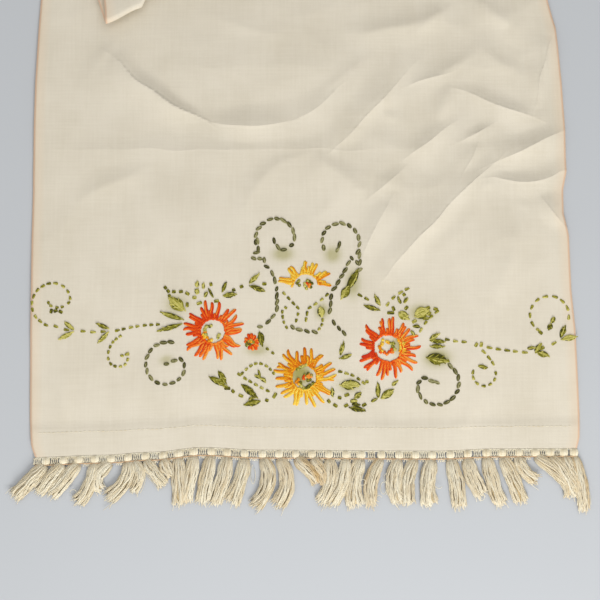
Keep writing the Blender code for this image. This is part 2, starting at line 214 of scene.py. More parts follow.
# Slow waves and crumples: wavelengths, and the places between which they fade in
WAVE_LENGTH = 0.105
CRUMPLES = (
    # wavelength in metres, seed, share of the height
    (0.075, 5, 1),
    (0.034, 8, 0.4),
)
CRUMPLE_BEND = 0.010
CRUMPLED_ACROSS = (-0.060, 0.080)
CRUMPLED_ALONG = (0.090, 0.190)
FREE_OF_HEM = (0.018, 0.048)
SINGLE_BEFORE = (0.345, 0.325)
SINGLE_AFTER = (0.600, 0.630)

# Fine grid of the cloth: rows end at an along, with a spacing and a slant. The rows before
# the near hem's edge and after the far one are the hems' turned allowances.
ROW_BANDS = (
    # end along, spacing, slant in degrees at the end
    (-1.2, 3, 0),
    (1.2, 0.4, 0),
    (14, 2.6, 0),
    (20, 1, 0),
    (60, 2.6, 0),
    (326, 1.75, 0),
    (455, 7, 8.5),
    (469.2, 1.2, 8.5),
    (555.7, 6.5, 5),
    (562.6, 0.9, 5),
    (700, 6, 0),
    (894, 5, 0),
    (900, 1, 0),
    (912.8, 2.6, 0),
    (915.2, 0.4, 0),
    (930, 3, 0),
)
FIRST_ROW = -16.0

# Near tassels, left to right: root across, sideways reach of the tip, bow of the middle,
# reach away from the trim, spread of the tip, and how stained it is
NEAR_TASSELS = (
    (-178.5, -21.8, 0, 19.5, 9, 0.25),
    (-166.5, -17.4, 0, 17.5, 9, 0.15),
    (-155.8, -19.4, 0, 20, 8, 0.10),
    (-144.8, -12.1, 3.2, 25.5, 8, 0.15),
    (-133.5, -6.5, -6, 17, 7, 0.20),
    (-122, -14.4, 5.5, 23.5, 9, 0.20),
    (-117.8, -1, 4.5, 19, 3, 0.15),
    (-110, 13.3, 0, 15.5, 6, 0.15),
    (-98, 6.3, 0, 10, 5, 0.45),
    (-87.2, 1.4, 0, 30.5, 11, 0.25),
    (-76.6, -5.8, 0.4, 29, 9, 0.25),
    (-64.6, -6.9, 0, 30.5, 9, 0.15),
    (-53.6, -8.9, 0.9, 31, 10, 0.20),
    (-41.7, -9.4, 1.8, 29.5, 10, 0.20),
    (-29.4, -6, 7, 31.5, 10, 0.25),
    (-18, -1.6, 6.1, 31, 10, 0.30),
    (-6.5, 16, 1.1, 14.5, 7, 0.90),
    (4.8, 9, 1.9, 16.5, 6, 0.70),
    (16.4, -6, 3.9, 29, 10, 0.25),
    (28.2, -10, 2.1, 29.8, 9, 0.15),
    (38.8, -4.8, -2.9, 31, 12, 0.20),
    (52.5, -7.3, -3.5, 30.5, 7, 0.60),
    (64.8, -0.3, -3.6, 28, 10, 0.20),
    (76, -5.7, -3.2, 29.5, 9, 0.25),
    (87.5, -2.5, -2, 30, 11, 0.20),
    (100.2, 6.7, 0.4, 32, 9, 0.20),
    (112.1, 10.1, -2, 24, 9, 0.25),
    (125, 9.8, -0.8, 31, 9, 0.25),
    (135.9, 13.3, 0.7, 29.5, 10, 0.25),
    (147.3, 12, -3, 14.5, 6, 0.35),
    (158.5, 25.5, 4.5, 23.5, 8, 0.35),
    (168.8, 14, 3.2, 26, 8, 0.40),
    (178.4, 13.1, -1.1, 22, 8, 0.50),
    (185.3, 5.7, 1.1, 35.5, 7, 0.60),
)
# Loose curls of yarn over the near tassels: middle across and along, radius, first angle,
# turn, stretch along the tassel, and height
LOOSE_CURLS = (
    (-35.6, -17.5, 2, 100, 330, 3.6, 0.8),
    (-159.5, -25, 2.6, 10, 200, 0.8, 1.4),
    (36, -17, 3, 40, 500, 1.4, 2.8),
    (39.4, -21.5, 2.4, 200, 320, 1, 3.9),
    (53.9, -26, 2.7, 300, 420, 1.9, 1.4),
    (56, -19, 2, 80, 300, 1.6, 1.8),
    (50.5, -33, 2.2, 20, 260, 1.2, 1.2),
    (92.5, -23, 3.4, 200, 120, 1, 1.6),
    (121.5, -33, 2.2, 120, 300, 1.2, 1),
    (147.5, -14, 2.6, 30, 400, 1, 2.4),
)
FAR_TASSEL_COUNT = 33
FAR_TASSEL_PITCH = 11.3
FAR_TASSEL_REACH = 29.0
FAR_TASSEL_SWAY = 4.0
FAR_TASSEL_SPREAD = 8.0

# The running stitches along a hem reach to both sides, and cover a share of their pitch
HEM_STITCHES_REACH = 0.184
HEM_STITCH_SHARE = 0.68

# The trim's head lies from the hem's edge to its front
SEWING_GAP = 0.0003
HEAD_DEPTH = 0.0080
HEAD_LEFT = -0.1860
HEAD_RIGHT = 0.1870

# Shapes of the tassels: share of the reach, and a width or a height
TASSEL_BODY = ((0.0, 4.4), (0.07, 7.0), (0.17, 8.8), (0.35, 9.6), (0.75, 9.4), (1.0, 9.0))
TASSEL_HEIGHTS = ((0.0, 1.4), (0.12, 2.9), (0.45, 3.1), (0.85, 2.4), (1.0, 1.3))
YARN_RADII = ((0.0, 0.22), (0.12, 0.33), (0.88, 0.32), (1.0, 0.20))
YARNS_IN_CLUMP = 9

# Daisies: middle across and along, radius of the hole, reach, petals, first angle, turn,
# angle of the deepest shade, and thread
DAISIES = (
    (-64.3, 84.9, 8.4, 22.8, 25, 3, 360, 135, "orange"),
    (57.9, 73.5, 9.4, 23.1, 26, 8, 360, 170, "orange"),
    (-0.7, 52.6, 8.4, 23.1, 25, 0, 360, 95, "gold"),
    (0.6, 117.6, 8.6, 20.6, 11, 11, 158, 300, "gold"),
    (58.6, 74.2, 7.6, 14.8, 5, -20, 52, 200, "gold"),
)
# Buds: middle across and along, inner and outer radius, first angle, turn, bars
BUDS = (
    (-37.2, 77.4, 1.5, 5.9, 155, -290, 11),
)

# Rings of knots: middle across and along, radius, first angle, turn, knots, thread
KNOT_RINGS = (
    (-65.6, 84.4, 4.6, 92, 128, 8, "green"),
    (-66.6, 82.8, 4.2, 150, 140, 7, "gold"),
    (-62.6, 82.6, 3, 290, 70, 3, "green"),
    (56.6, 74.2, 4.8, 60, 170, 8, "gold"),
    (57, 74, 4.9, 225, 120, 6, "orange"),
    (57, 74, 5, -10, 60, 4, "green"),
    (1.2, 51, 3, 60, 90, 4, "orange"),
    (0.4, 49.6, 4.6, 200, 150, 7, "green"),
    (-1.4, 57.4, 4, 60, 100, 4, "green"),
    (-4.4, 119.6, 1.4, 90, 200, 3, "green"),
    (2, 118.6, 2.9, 100, 320, 7, "green"),
    (2.2, 118.6, 1.2, 0, 300, 3, "orange"),
    (-39.4, 76.6, 1.6, 80, 230, 4, "green"),
    (-38.2, 78, 0.6, 0, 180, 2, "gold"),
    (2.6, 53, 2.4, 40, 260, 6, "green"),
    (3.2, 53.4, 1, 0, 240, 3, "orange"),
    (-4.6, 49.6, 1.6, 100, 180, 3, "gold"),
)

# Curls: middle across and along, first and last radius, first angle, turn, easing, stitch
CURLS = (
    (-20.8, 152.4, 13.6, 15.4, -12, 236, 6, "chain"),
    (24.5, 150, 12.6, 16, 214, -256, 5, "chain"),
    (-95.6, 62.6, 15.4, 8, 72, 318, 6, "chain"),
    (91.4, 48.6, 15.6, 7, 62, -278, 8, "chain"),
    (-177.2, 106.9, 13.2, 17, 4, 262, 4, "short"),
    (-129.8, 68, 6.9, 7.3, 28, -214, 1, "fine"),
    (171, 96.5, 13.6, 13.6, -20, 268, 1, "dash"),
    (124.5, 54, 8.2, 8.2, 22, -236, 1, "short"),
)

# Lines: start across and along, end across and along, bow to the left, stitch
LINES = (
    (-34.3, 153, -31.4, 146, -0.6, "chain"),
    (-31, 143.8, -37.4, 140.2, 0.8, "chain"),
    (-38.4, 137.6, -29, 137.2, -0.4, "chain"),
    (-29.6, 138.4, -28, 134, 0.4, "chain"),
    (-29, 132.2, -24.8, 130.4, 0, "chain"),
    (-24, 129, -20.6, 118.6, 0.4, "chain"),
    (-22.6, 123.6, -19.6, 119, -0.4, "chain"),
    (-19.9, 117.6, -19.6, 98.8, 0, "chain"),
    (-20.4, 98, -27.4, 90, 0, "chain"),
    (-28, 89, -34, 88, 0, "chain"),
    (-7.2, 149, -18, 142.6, 1.2, "chain"),
    (-22.4, 152.8, -17.2, 143.4, -1.2, "chain"),
    (24.6, 149.2, 22, 141.6, 0.6, "chain"),
    (38.3, 142, 38.8, 132, 0, "chain"),
    (31, 138.5, 38.5, 132.5, 0.6, "chain"),
    (31.5, 136, 19, 113.5, 0.6, "chain"),
    (18.3, 112, 16.8, 97, 0.6, "chain"),
    (18.5, 93.5, 29.5, 82, -0.6, "chain"),
    (40, 131, 27, 109, -1.6, "chain"),
    (-88.6, 65.6, -99.6, 61.4, 0.6, "chain"),
    (85.6, 50.4, 93.6, 48.4, 0.4, "chain"),
    (-177, 91, -163, 86.8, -0.6, "dash"),
    (-158.5, 86.4, -137.5, 86, -0.5, "dash"),
    (-133.5, 86, -100, 90.6, 0.9, "short"),
    (-127.6, 83.1, -137.2, 70, -2.4, "fine"),
    (-47.5, 55.5, -23.5, 41.5, -0.6, "short"),
    (-44.5, 54, -20.5, 53.5, 8.6, "fine"),
    (22, 57, 42.5, 47, 2, "short"),
    (36.5, 112, 45.5, 107, 0, "dash"),
    (56.5, 102.5, 75, 116.5, 2.2, "dash"),
    (94.5, 101, 79.5, 83.5, -1.6, "dash"),
    (-16, 113.5, -3.5, 100, 0, "short"),
    (17, 113, 1, 100.5, 0.8, "short"),
    (-15.6, 101, -12, 86.4, -1.6, "fine"),
    (12.4, 95, 8, 85.4, 1.4, "fine"),
    (97, 80, 114, 77.8, -0.4, "dash"),
    (126, 74, 156, 69.5, -0.5, "dash"),
    (122.5, 72, 132.5, 59, 1, "dash"),
    (171, 74.5, 176.5, 78, 0, "dash"),
    (-179.8, 107.4, -176.2, 103.7, -1.2, "fine"),
    (-175.6, 103.2, -167.5, 104.4, -0.6, "fine"),
    (-167, 104.6, -164, 107.8, 0, "fine"),
    (-123.2, 70.6, -129.9, 69.5, 1.6, "fine"),
    (-27.8, 73.8, -20.6, 68.6, 0, "fine"),
    (-11.4, 89.2, 9.4, 84.4, -1.2, "chain"),
    (-4.4, 99, -6.8, 90.6, 0, "fine"),
    (1.6, 100, 0.6, 91.6, 0, "short"),
)

# Leaves: base across and along, tip across and along, width, shade from dark to light
LEAVES = (
    (-161, 87, -168.5, 93, 3.2, 0.75),
    (-161, 86, -172.5, 80.5, 3.4, 0.85),
    (-136.5, 87.5, -146.5, 92, 3.2, 0.50),
    (-136.5, 86, -145, 77.5, 3.2, 0.60),
    (-84.5, 93, -102, 99.5, 3.8, 0.50),
    (-85.5, 90.5, -104, 85.5, 3.8, 0.40),
    (-83.5, 99, -96, 110, 8.6, 0.90),
    (-58.5, 112.5, -55, 120.5, 2.8, 0.35),
    (-58, 110.5, -47.5, 111.5, 4.2, 0.40),
    (-39.5, 119, -31.5, 127, 3.4, 0.80),
    (-39.5, 118, -27.5, 113.5, 3.8, 0.45),
    (-70.5, 109, -68.5, 113.8, 2.6, 0.40),
    (-64, 108.5, -68, 116, 1.8, 0.20),
    (-76, 116.2, -75.5, 121, 3.2, 0.90),
    (-76, 111, -75.5, 116, 3.6, 0.95),
    (-71.5, 115, -71, 120, 2.4, 0.85),
    (-67, 52.5, -53, 44.4, 4.6, 0.40),
    (-60.5, 56.8, -54.4, 47, 4.2, 0.45),
    (-44.5, 47.5, -32.5, 37.5, 5, 0.15),
    (-43, 32.5, -30.5, 35.5, 4.4, 0.30),
    (-39.5, 36.2, -33.5, 39.2, 2.4, 0.60),
    (-32.5, 58, -31, 51.5, 1.8, 0.50),
    (-35.5, 54.5, -30.5, 51.5, 2.4, 0.60),
    (-31, 52.5, -26.5, 48.5, 3, 0.80),
    (23.5, 47.5, 38.5, 46.8, 7.4, 0.75),
    (19, 45.5, 19, 38, 2.8, 0.65),
    (34, 37.5, 39, 42, 4.2, 0.60),
    (31, 35.5, 36.5, 36, 3.2, 0.60),
    (30, 31.5, 42.5, 28.5, 4.2, 0.15),
    (32, 33.8, 38.5, 33, 2.6, 0.05),
    (50.8, 37.5, 50.5, 49.5, 3.6, 0.50),
    (52, 37.5, 62, 44, 5.6, 0.65),
    (45.5, 35, 50.5, 38, 2.2, 0.50),
    (60, 46.5, 64.5, 50.5, 2.8, 0.60),
    (53, 100, 40.8, 104, 3.6, 0.25),
    (52.8, 103, 48.5, 112, 3.4, 0.50),
    (67.2, 104.5, 65, 110.5, 2.2, 0.40),
    (69, 105, 72.2, 109.8, 2.4, 0.55),
    (65, 99, 73.5, 93.8, 6.2, 0.75),
    (76, 96, 87.5, 101.2, 8.6, 0.90),
    (75, 89, 80.8, 88.8, 2.6, 0.15),
    (73.8, 86.5, 77, 81.5, 2.2, 0.60),
    (86.5, 79.5, 94.5, 84.2, 3.2, 0.65),
    (86.5, 79, 98.5, 77.6, 3.4, 0.45),
    (86.5, 75, 98, 74.4, 3.4, 0.40),
    (33, 69, 23.5, 65.5, 3.2, 0.45),
    (24.5, 67.8, 27.2, 78.5, 3.2, 0.55),
    (154.5, 72.5, 161, 73.5, 2.6, 0.55),
    (160, 69, 165, 76.5, 4.4, 0.55),
    (161, 70.2, 170.8, 66.8, 4.6, 0.60),
    (178, 80, 182, 89.5, 4, 0.30),
    (178, 79.2, 190.3, 81.2, 4.4, 0.85),
    (174.5, 95.5, 171.8, 90, 3.2, 0.55),
    (172.5, 90.5, 169.8, 85.8, 3.8, 0.45),
    (120, 60.5, 127.5, 58.6, 3, 0.45),
    (38.2, 130.5, 29, 113.5, 5.4, 0.20),
    (31.4, 118, 25.2, 108, 6.2, 0.55),
    (11, 103.5, 11.5, 95, 5.4, 1),
    (-31.6, 85.5, -29.6, 74, 4.8, 0.28),
    (84, 67.2, 101, 63.8, 8.4, 0.32),
)

# Loose dots: across, along, angle, length, shade
DOTS = (
    (-92, 113.5, 0, 2.6, 0.30),
    (-87, 113.5, 10, 2.8, 0.30),
    (-82.5, 112, -30, 3.2, 0.45),
    (-77.5, 109, 0, 3, 0.70),
    (-66, 118.5, 100, 2.6, 0.40),
    (-82.5, 104, 90, 3.4, 0.45),
    (-74, 105, 20, 4, 0.60),
    (-62, 106.5, 10, 3.6, 0.50),
    (-50, 114.5, 25, 2.4, 0.20),
    (-44.5, 117, 25, 2.6, 0.35),
    (-98, 116.5, -50, 2.4, 0.25),
    (-96, 114, -50, 2.6, 0.25),
    (-95, 110.5, -70, 2.6, 0.25),
    (-28.5, 119, 0, 3, 0.40),
    (-50, 42, -50, 2.6, 0.35),
    (-44.5, 39, -20, 3.4, 0.60),
    (-26.5, 36, -20, 2.4, 0.30),
    (-21, 39.5, 60, 4.6, 0.45),
    (-54, 44, 0, 4.4, 0.15),
    (16.5, 35.5, -50, 2.8, 0.40),
    (21, 32.5, -35, 3.4, 0.45),
    (24, 38, -15, 2.6, 0.25),
    (29, 40, 20, 3.6, 0.40),
    (28.5, 32.5, 30, 3.2, 0.40),
    (41, 33, 30, 3.4, 0.20),
    (43, 49.5, 0, 2.4, 0.60),
    (69.5, 111.5, 40, 2.2, 0.40),
    (71, 102, 50, 3.2, 0.40),
    (62, 101.5, 110, 3.4, 0.30),
    (60, 98.5, 0, 5.2, 0.25),
    (86, 102, 20, 3.4, 0.50),
    (91.5, 101.2, -10, 3.2, 0.45),
    (87, 98, 60, 3, 0.50),
    (84.5, 94.5, 0, 4.4, 0.45),
    (76.5, 92.5, 30, 3.6, 0.70),
    (-13.5, 102, 60, 1.6, 0.60),
    (119.5, 75.5, 60, 3.2, 0.60),
    (123, 75.6, 80, 3.6, 0.70),
    (165.5, 73, 30, 3.2, 0.55),
    (164.5, 84, -40, 3.2, 0.25),
    (-177.5, 100.5, 80, 3.2, 0.10),
    (-174.5, 100.6, 20, 3, 0.15),
    (-171, 100, -30, 3, 0.20),
    (-35.6, 77.5, 70, 3.2, 0.55),
    (-37.6, 79, 100, 3, 0.75),
)

# Where dye has run into the cloth: across, along, half width, half depth, strength
DYE_STAINS = (
    (-15.5, 140.5, 6.5, 4.5, 0.62),
    (19.5, 140, 5, 5, 0.62),
    (-33.5, 72.5, 7, 4, 0.52),
    (33.5, 119.5, 4.5, 9, 0.60),
    (11.8, 99.5, 4, 4.8, 0.72),
    (81, 98.5, 7.5, 5.5, 0.65),
    (-90, 104.5, 7, 6, 0.45),
    (92, 66.5, 8, 5.5, 0.80),
    (-3, 54.5, 7, 7, 0.95),
    (65.5, 76.5, 4, 6.5, 0.70),
    (31, 46.5, 7.5, 4.5, 0.45),
    (-96.5, 65, 4, 3, 0.50),
)

# Embroidery threads: colour, slot, millimetres in which its plies turn, strength of its patches
THREADS = {
    "orange": ("orange", "orange_thread", 4.6, 0.4),
    "gold": ("gold", "gold_thread", 4.6, 0.4),
    "green": ("leaf", "green_thread", 4.2, 0.7),
    "chain": ("scroll", "green_thread", 4.2, 0.6),
}

# Look of the cotton, in millimetres on the flat cloth. Slubs have a rate across and one along.
THREADS_PER_MM = 1.9
WEAVE_DRIFT = 2.4
SLUB_RATES = ((0.65, 0.03), (0.04, 0.75))
SELVAGE_TINT_REACH = 9.0
SELVAGE_LINE_PLACE = 0.7

# Half the width of the floor, and how far it lies under the runner
FLOOR_REACH = 4.0
FLOOR_GAP = 0.0004


def srgb(red, green, blue):
    """Scene colour of a screen colour given from 0 to 255."""
    values = (red / 255.0, green / 255.0, blue / 255.0)
    return tuple(v / 12.92 if v <= 0.04045 else ((v + 0.055) / 1.055) ** 2.4 for v in values)


def colour(name, description, red, green, blue):
    """Colour property with a default given as a screen colour."""
    return FloatVectorProperty(
        name=name,
        description=description,
        subtype="COLOR",
        size=3,
        min=0.0,
        max=1.0,
        default=srgb(red, green, blue),
    )


def length(name, description, default):
    """Length property in metres."""
    return FloatProperty(name=name, description=description, default=default, unit="LENGTH", precision=5)


class ClothSizes(bpy.types.PropertyGroup):
    thickness: length("Thickness", "Thickness of the cotton", 0.0006)
    hem_depth: length("Hem depth", "From the hem's edge to its stitching", HEM_DEPTH)
    hem_gap: length("Hem gap", "Room between a hem and the cloth over it", 0.0002)
    groove: length("Stitch groove", "How far the hem's stitching pulls the cloth in", 0.00005)
    undulation: length("Slow waves", "Height of the slow waves in the lying cloth", 0.0006)
    wrinkle: length("Fine crumples", "Height of the fine crumples", 0.0008)
    columns: IntProperty(name="Columns", description="Grid columns across the cloth", default=150, min=8)


class TrimSizes(bpy.types.PropertyGroup):
    yarns: IntProperty(name="Near yarns", description="Yarns in each near tassel", default=42, min=3)
    far_yarns: IntProperty(name="Far yarns", description="Yarns in each far tassel", default=20, min=3)
    strays: IntProperty(name="Stray yarns", description="Loose yarns beside each tassel", default=3, min=0)
    cord_radius: length("Cord radius", "Radius of the cords along the trim's head", 0.00035)
    pinch: length("Pinch depth", "From the hem's edge to the cord that pinches the tassels", 0.0058)
    block_width: length("Block width", "Width of the bundle over each tassel", 0.0061)
    block_yarn: length("Block yarn", "Radius of a yarn in that bundle", 0.00046)
    lace_radius: length("Lace yarn", "Radius of the zigzag thread between bundles", 0.00027)


class StitchSizes(bpy.types.PropertyGroup):
    petal_strand: length("Petal strand", "Half the width of one strand of a petal", 0.00076)
    chain_length: length("Chain link", "Length of one chain stitch", 0.0053)
    chain_half: length("Chain half width", "Half the width of a chain link's loop", 0.00088)
    chain_strand: length("Chain strand", "Half the width of a chain link's thread", 0.00046)
    chain_slant: length("Chain slant", "How far a chain link's ends lie beside its line", 0.00062)
    dash_length: length("Running stitch", "Length of one running stitch", 0.0040)
    dash_pitch: length("Running pitch", "From one running stitch to the next", 0.0063)
    short_length: length("Short stitch", "Length of one short running stitch", 0.0033)
    short_pitch: length("Short pitch", "From one short running stitch to the next", 0.0050)
    fine_length: length("Fine stitch", "Length of one fine running stitch", 0.0025)
    fine_pitch: length("Fine pitch", "From one fine running stitch to the next", 0.0038)
    dash_strand: length("Running strand", "Half the width of one strand of a running stitch", 0.00070)
    leaf_strand: length("Leaf strand", "Half the width of one strand of a leaf", 0.00056)
    strand_height: length("Strand height", "Half the height of a strand on the cloth", 0.00036)
    hem_pitch: length("Hem pitch", "From one hem stitch to the next", 0.0031)


class StageSizes(bpy.types.PropertyGroup):
    distance: length("Camera distance", "From the camera to the cloth", 0.786)
    tilt: FloatProperty(
        name="Camera tilt",
        description="Lean of the view from straight down",
        default=math.radians(7.0),
        subtype="ANGLE",
    )
    lens: FloatProperty(name="Lens", description="Focal length in millimetres", default=67.2)
    across: length("View across", "Place under the middle of the picture, across", -0.0035)
    along: length("View along", "Place under the middle of the picture, along", 0.1078)
    key_power: FloatProperty(name="Key light", description="Power of the low near light", default=14.6)
    fill_power: FloatProperty(name="Fill light", description="Power of the wide light above", default=5.5)
    sky: FloatProperty(name="Surroundings", description="Brightness of the surroundings", default=0.56)
    floor: colour("Floor", "Colour of the pale floor", 196, 199, 202)


class RunnerColours(bpy.types.PropertyGroup):
    cloth: colour("Cloth", "Unbleached cotton", 228, 219, 200)
    # At half its brightness this also colours the painted shade between the woven threads
    cloth_streak: colour("Cloth streaks", "Darker threads in the cotton", 212, 202, 180)
    selvage: colour("Selvage tint", "Peach tint along the side edges", 232, 208, 178)
    selvage_line: colour("Selvage thread", "Bright thread at the side edges", 230, 172, 130)
    dye: colour("Run dye", "Green that has run into the cloth", 158, 152, 74)
    yarn: colour("Trim yarn", "Cream yarn of the trim", 252, 245, 222)
    # Low shades lean to this colour, the painted shadow on a tassel's sides among them; at 0.42 of it, it
    # colours the painted shade in the yarn's grooves and under it
    yarn_dark: colour("Trim yarn, dark", "Yellowed yarn of the trim", 222, 201, 156)
    stain: colour("Trim stain", "Brown stain on the trim", 208, 170, 100)
    pinch: colour("Pinch cord", "Faded orange cord of the trim", 222, 176, 138)
    # The deep shades, at 0.28 of their brightness, also colour the painted shade in a thread's grooves and
    # under it
    orange_deep: colour("Orange, deep", "Deepest shade of the orange thread", 218, 50, 0)
    orange: colour("Orange", "Middle shade of the orange thread", 250, 100, 2)
    orange_light: colour("Orange, light", "Lightest shade of the orange thread", 255, 168, 62)
    gold_deep: colour("Gold, deep", "Deepest shade of the gold thread", 226, 118, 0)
    gold: colour("Gold", "Middle shade of the gold thread", 248, 174, 10)
    gold_light: colour("Gold, light", "Lightest shade of the gold thread", 255, 224, 92)
    leaf_deep: colour("Leaf, deep", "Deepest shade of the leaf thread", 76, 74, 10)
    leaf: colour("Leaf", "Middle shade of the leaf thread", 152, 146, 38)
    leaf_light: colour("Leaf, light", "Lightest shade of the leaf thread", 222, 212, 118)
    scroll_deep: colour("Scroll, deep", "Deepest shade of the scroll thread", 64, 62, 26)
    scroll: colour("Scroll", "Middle shade of the scroll thread", 118, 114, 62)
    scroll_light: colour("Scroll, light", "Lightest shade of the scroll thread", 190, 184, 132)


PROPERTY_GROUPS = (
    ("runner_cloth", ClothSizes),
    ("runner_trim", TrimSizes),
    ("runner_stitches", StitchSizes),
    ("runner_stage", StageSizes),
    ("runner_colours", RunnerColours),
)


def smooth_step(value):
    """Ease from 0 to 1 with level ends."""
    held = np.clip(value, 0.0, 1.0)
    return held * held * (3.0 - 2.0 * held)


def fade(value, start, end):
    """Ease from 0 at the start to 1 at the end."""
    return smooth_step((value - start) / (end - start))


def bell(value):
    """Soft bump of height 1 around 0."""
    return np.exp(-value * value)


def unit(vectors):
    """Vectors of length 1 in the same directions."""
    return vectors / np.maximum(np.linalg.norm(vectors, axis=-1, keepdims=True), 1e-9)


def heading(angle):
    """Direction in the plan at an angle."""
    return np.array((math.cos(angle), math.sin(angle)))


def left_of(run):
    """Direction in the plan to the left of a run."""
    return np.array((-run[1], run[0])) / np.hypot(*run)


def soft_table(place, table):
    """Value read from a table of places and values in millimetres, eased between its rows."""
    place = np.asarray(place, dtype=float)
    result = np.full(place.shape, table[0][1] * MM)
    for before, after in zip(table, table[1:]):
        share = smooth_step((place - before[0] * MM) / ((after[0] - before[0]) * MM))
        result = result + share * (after[1] - before[1]) * MM
    return result


def table_value(share, table):
    """Value read from a table of shares and values in millimetres, in straight steps."""
    return np.interp(share, [row[0] for row in table], [row[1] for row in table]) * MM


def slow_noise(x, y, wavelength, seed):
    """Smooth unevenness from -1 to 1 with about one wavelength."""
    rng = np.random.default_rng(seed)
    waves = 7
    total = np.zeros(np.shape(x))
    for _ in range(waves):
        angle = rng.uniform(0.0, math.tau)
        rate = math.tau / (wavelength * rng.uniform(0.7, 1.5))
        phase = rng.uniform(0.0, math.tau)
        total = total + np.sin(rate * (x * math.cos(angle) + y * math.sin(angle)) + phase)
    return total / math.sqrt(waves) / 1.6


def ridge(value):
    """Ridge of height 1 at 0, steepest beside its slightly rounded crest and easing out to its feet."""
    away = np.sqrt(value * value + CREASE_ROUNDING**2) - CREASE_ROUNDING
    return np.maximum(1.0 - away / CREASE_FOOT, 0.0) ** 2


def crease_parts(across, along, x0, y0, x1, y1, bow, rise, left, right, taper):
    """Signed distance from one crease's crest, its width there, and the crest's height."""
    run = np.array((x1 - x0, y1 - y0)) * MM
    reach = float(np.hypot(*run))
    run = run / reach
    away_x = across - x0 * MM
    away_y = along - y0 * MM
    share = (away_x * run[0] + away_y * run[1]) / reach
    held = np.clip(share, 0.0, 1.0)
    side = away_y * run[0] - away_x * run[1] - 4.0 * bow * MM * held * (1.0 - held)
    past = (share - held) * reach
    width = np.where(side > 0.0, left, right) * MM * (1.0 + taper * (0.5 - held))
    strength = np.sqrt(np.clip(np.sin(math.pi * np.clip(held, 0.04, 0.96)), 0.0, 1.0))
    return side, width, rise * MM * strength * bell(past / CREASE_END)


def unsettle(across, along):
    """Places moved a little, so that straight creases wander, and how strong creases are there."""
    x = across + CREASE_WANDER * slow_noise(across, along, WANDER_LENGTH, 21)
    y = along + CREASE_WANDER * slow_noise(across, along, WANDER_LENGTH, 22)
    return x, y, 1.0 + CREASE_UNEVENNESS * slow_noise(across, along, UNEVENNESS_LENGTH, 23)


def crease_height(across, along, creases):
    """Height that a table of creases gives the cloth at each place in the plan."""
    x, y, strength = unsettle(across, along)
    total = np.zeros_like(across)
    for crease in creases:
        side, width, crest = crease_parts(x, y, *crease)
        total = total + np.maximum(crest * ridge(side / width), 0.0) ** CREASE_BLEND
    return strength * total ** (1.0 / CREASE_BLEND)


def crest_lines(across, along, group):
    """Millimetres from the nearest crest of a group of near creases, and its steepness near it."""
    x, y, strength = unsettle(across, along)
    distance = np.full_like(across, CREST_REACH)
    slope = np.zeros_like(across)
    for crease in [row[:-1] for row in CREASES if row[-1] == group]:
        side, width, crest = crease_parts(x, y, *crease)
        steep = strength * 2.0 * crest / (CREASE_FOOT * width)
        closer = (np.abs(side) < np.abs(distance)) & (steep > GENTLEST_CREST)
        distance = np.where(closer, side, distance)
        slope = np.where(closer, steep, slope)
    return distance / MM, slope * (1.0 - fade(np.abs(distance), 0.4 * CREST_REACH, 0.8 * CREST_REACH))


def far_hem_wave(across):
    """Slow wander of the far hem's edge."""
    return FAR_HEM_WAVE * np.sin(2.0 * math.pi * across / FAR_HEM_WAVELENGTH)


def past_fold(across, along, fold_along, slant):
    """Distance of a flat point past a fold's line, and the line's own direction of travel."""
    travel = (-math.sin(slant), math.cos(slant))
    return across * travel[0] + (along - fold_along) * travel[1], travel


def fold_over(distance, radius):
    """Plan reach past a fold's line, and rise, at a distance along the cloth past that line."""
    turn = np.clip(distance / radius, 0.0, math.pi)
    before = np.minimum(distance, 0.0)
    after = np.maximum(distance - math.pi * radius, 0.0)
    return radius * np.sin(turn) + before - after, radius * (1.0 - np.cos(turn))


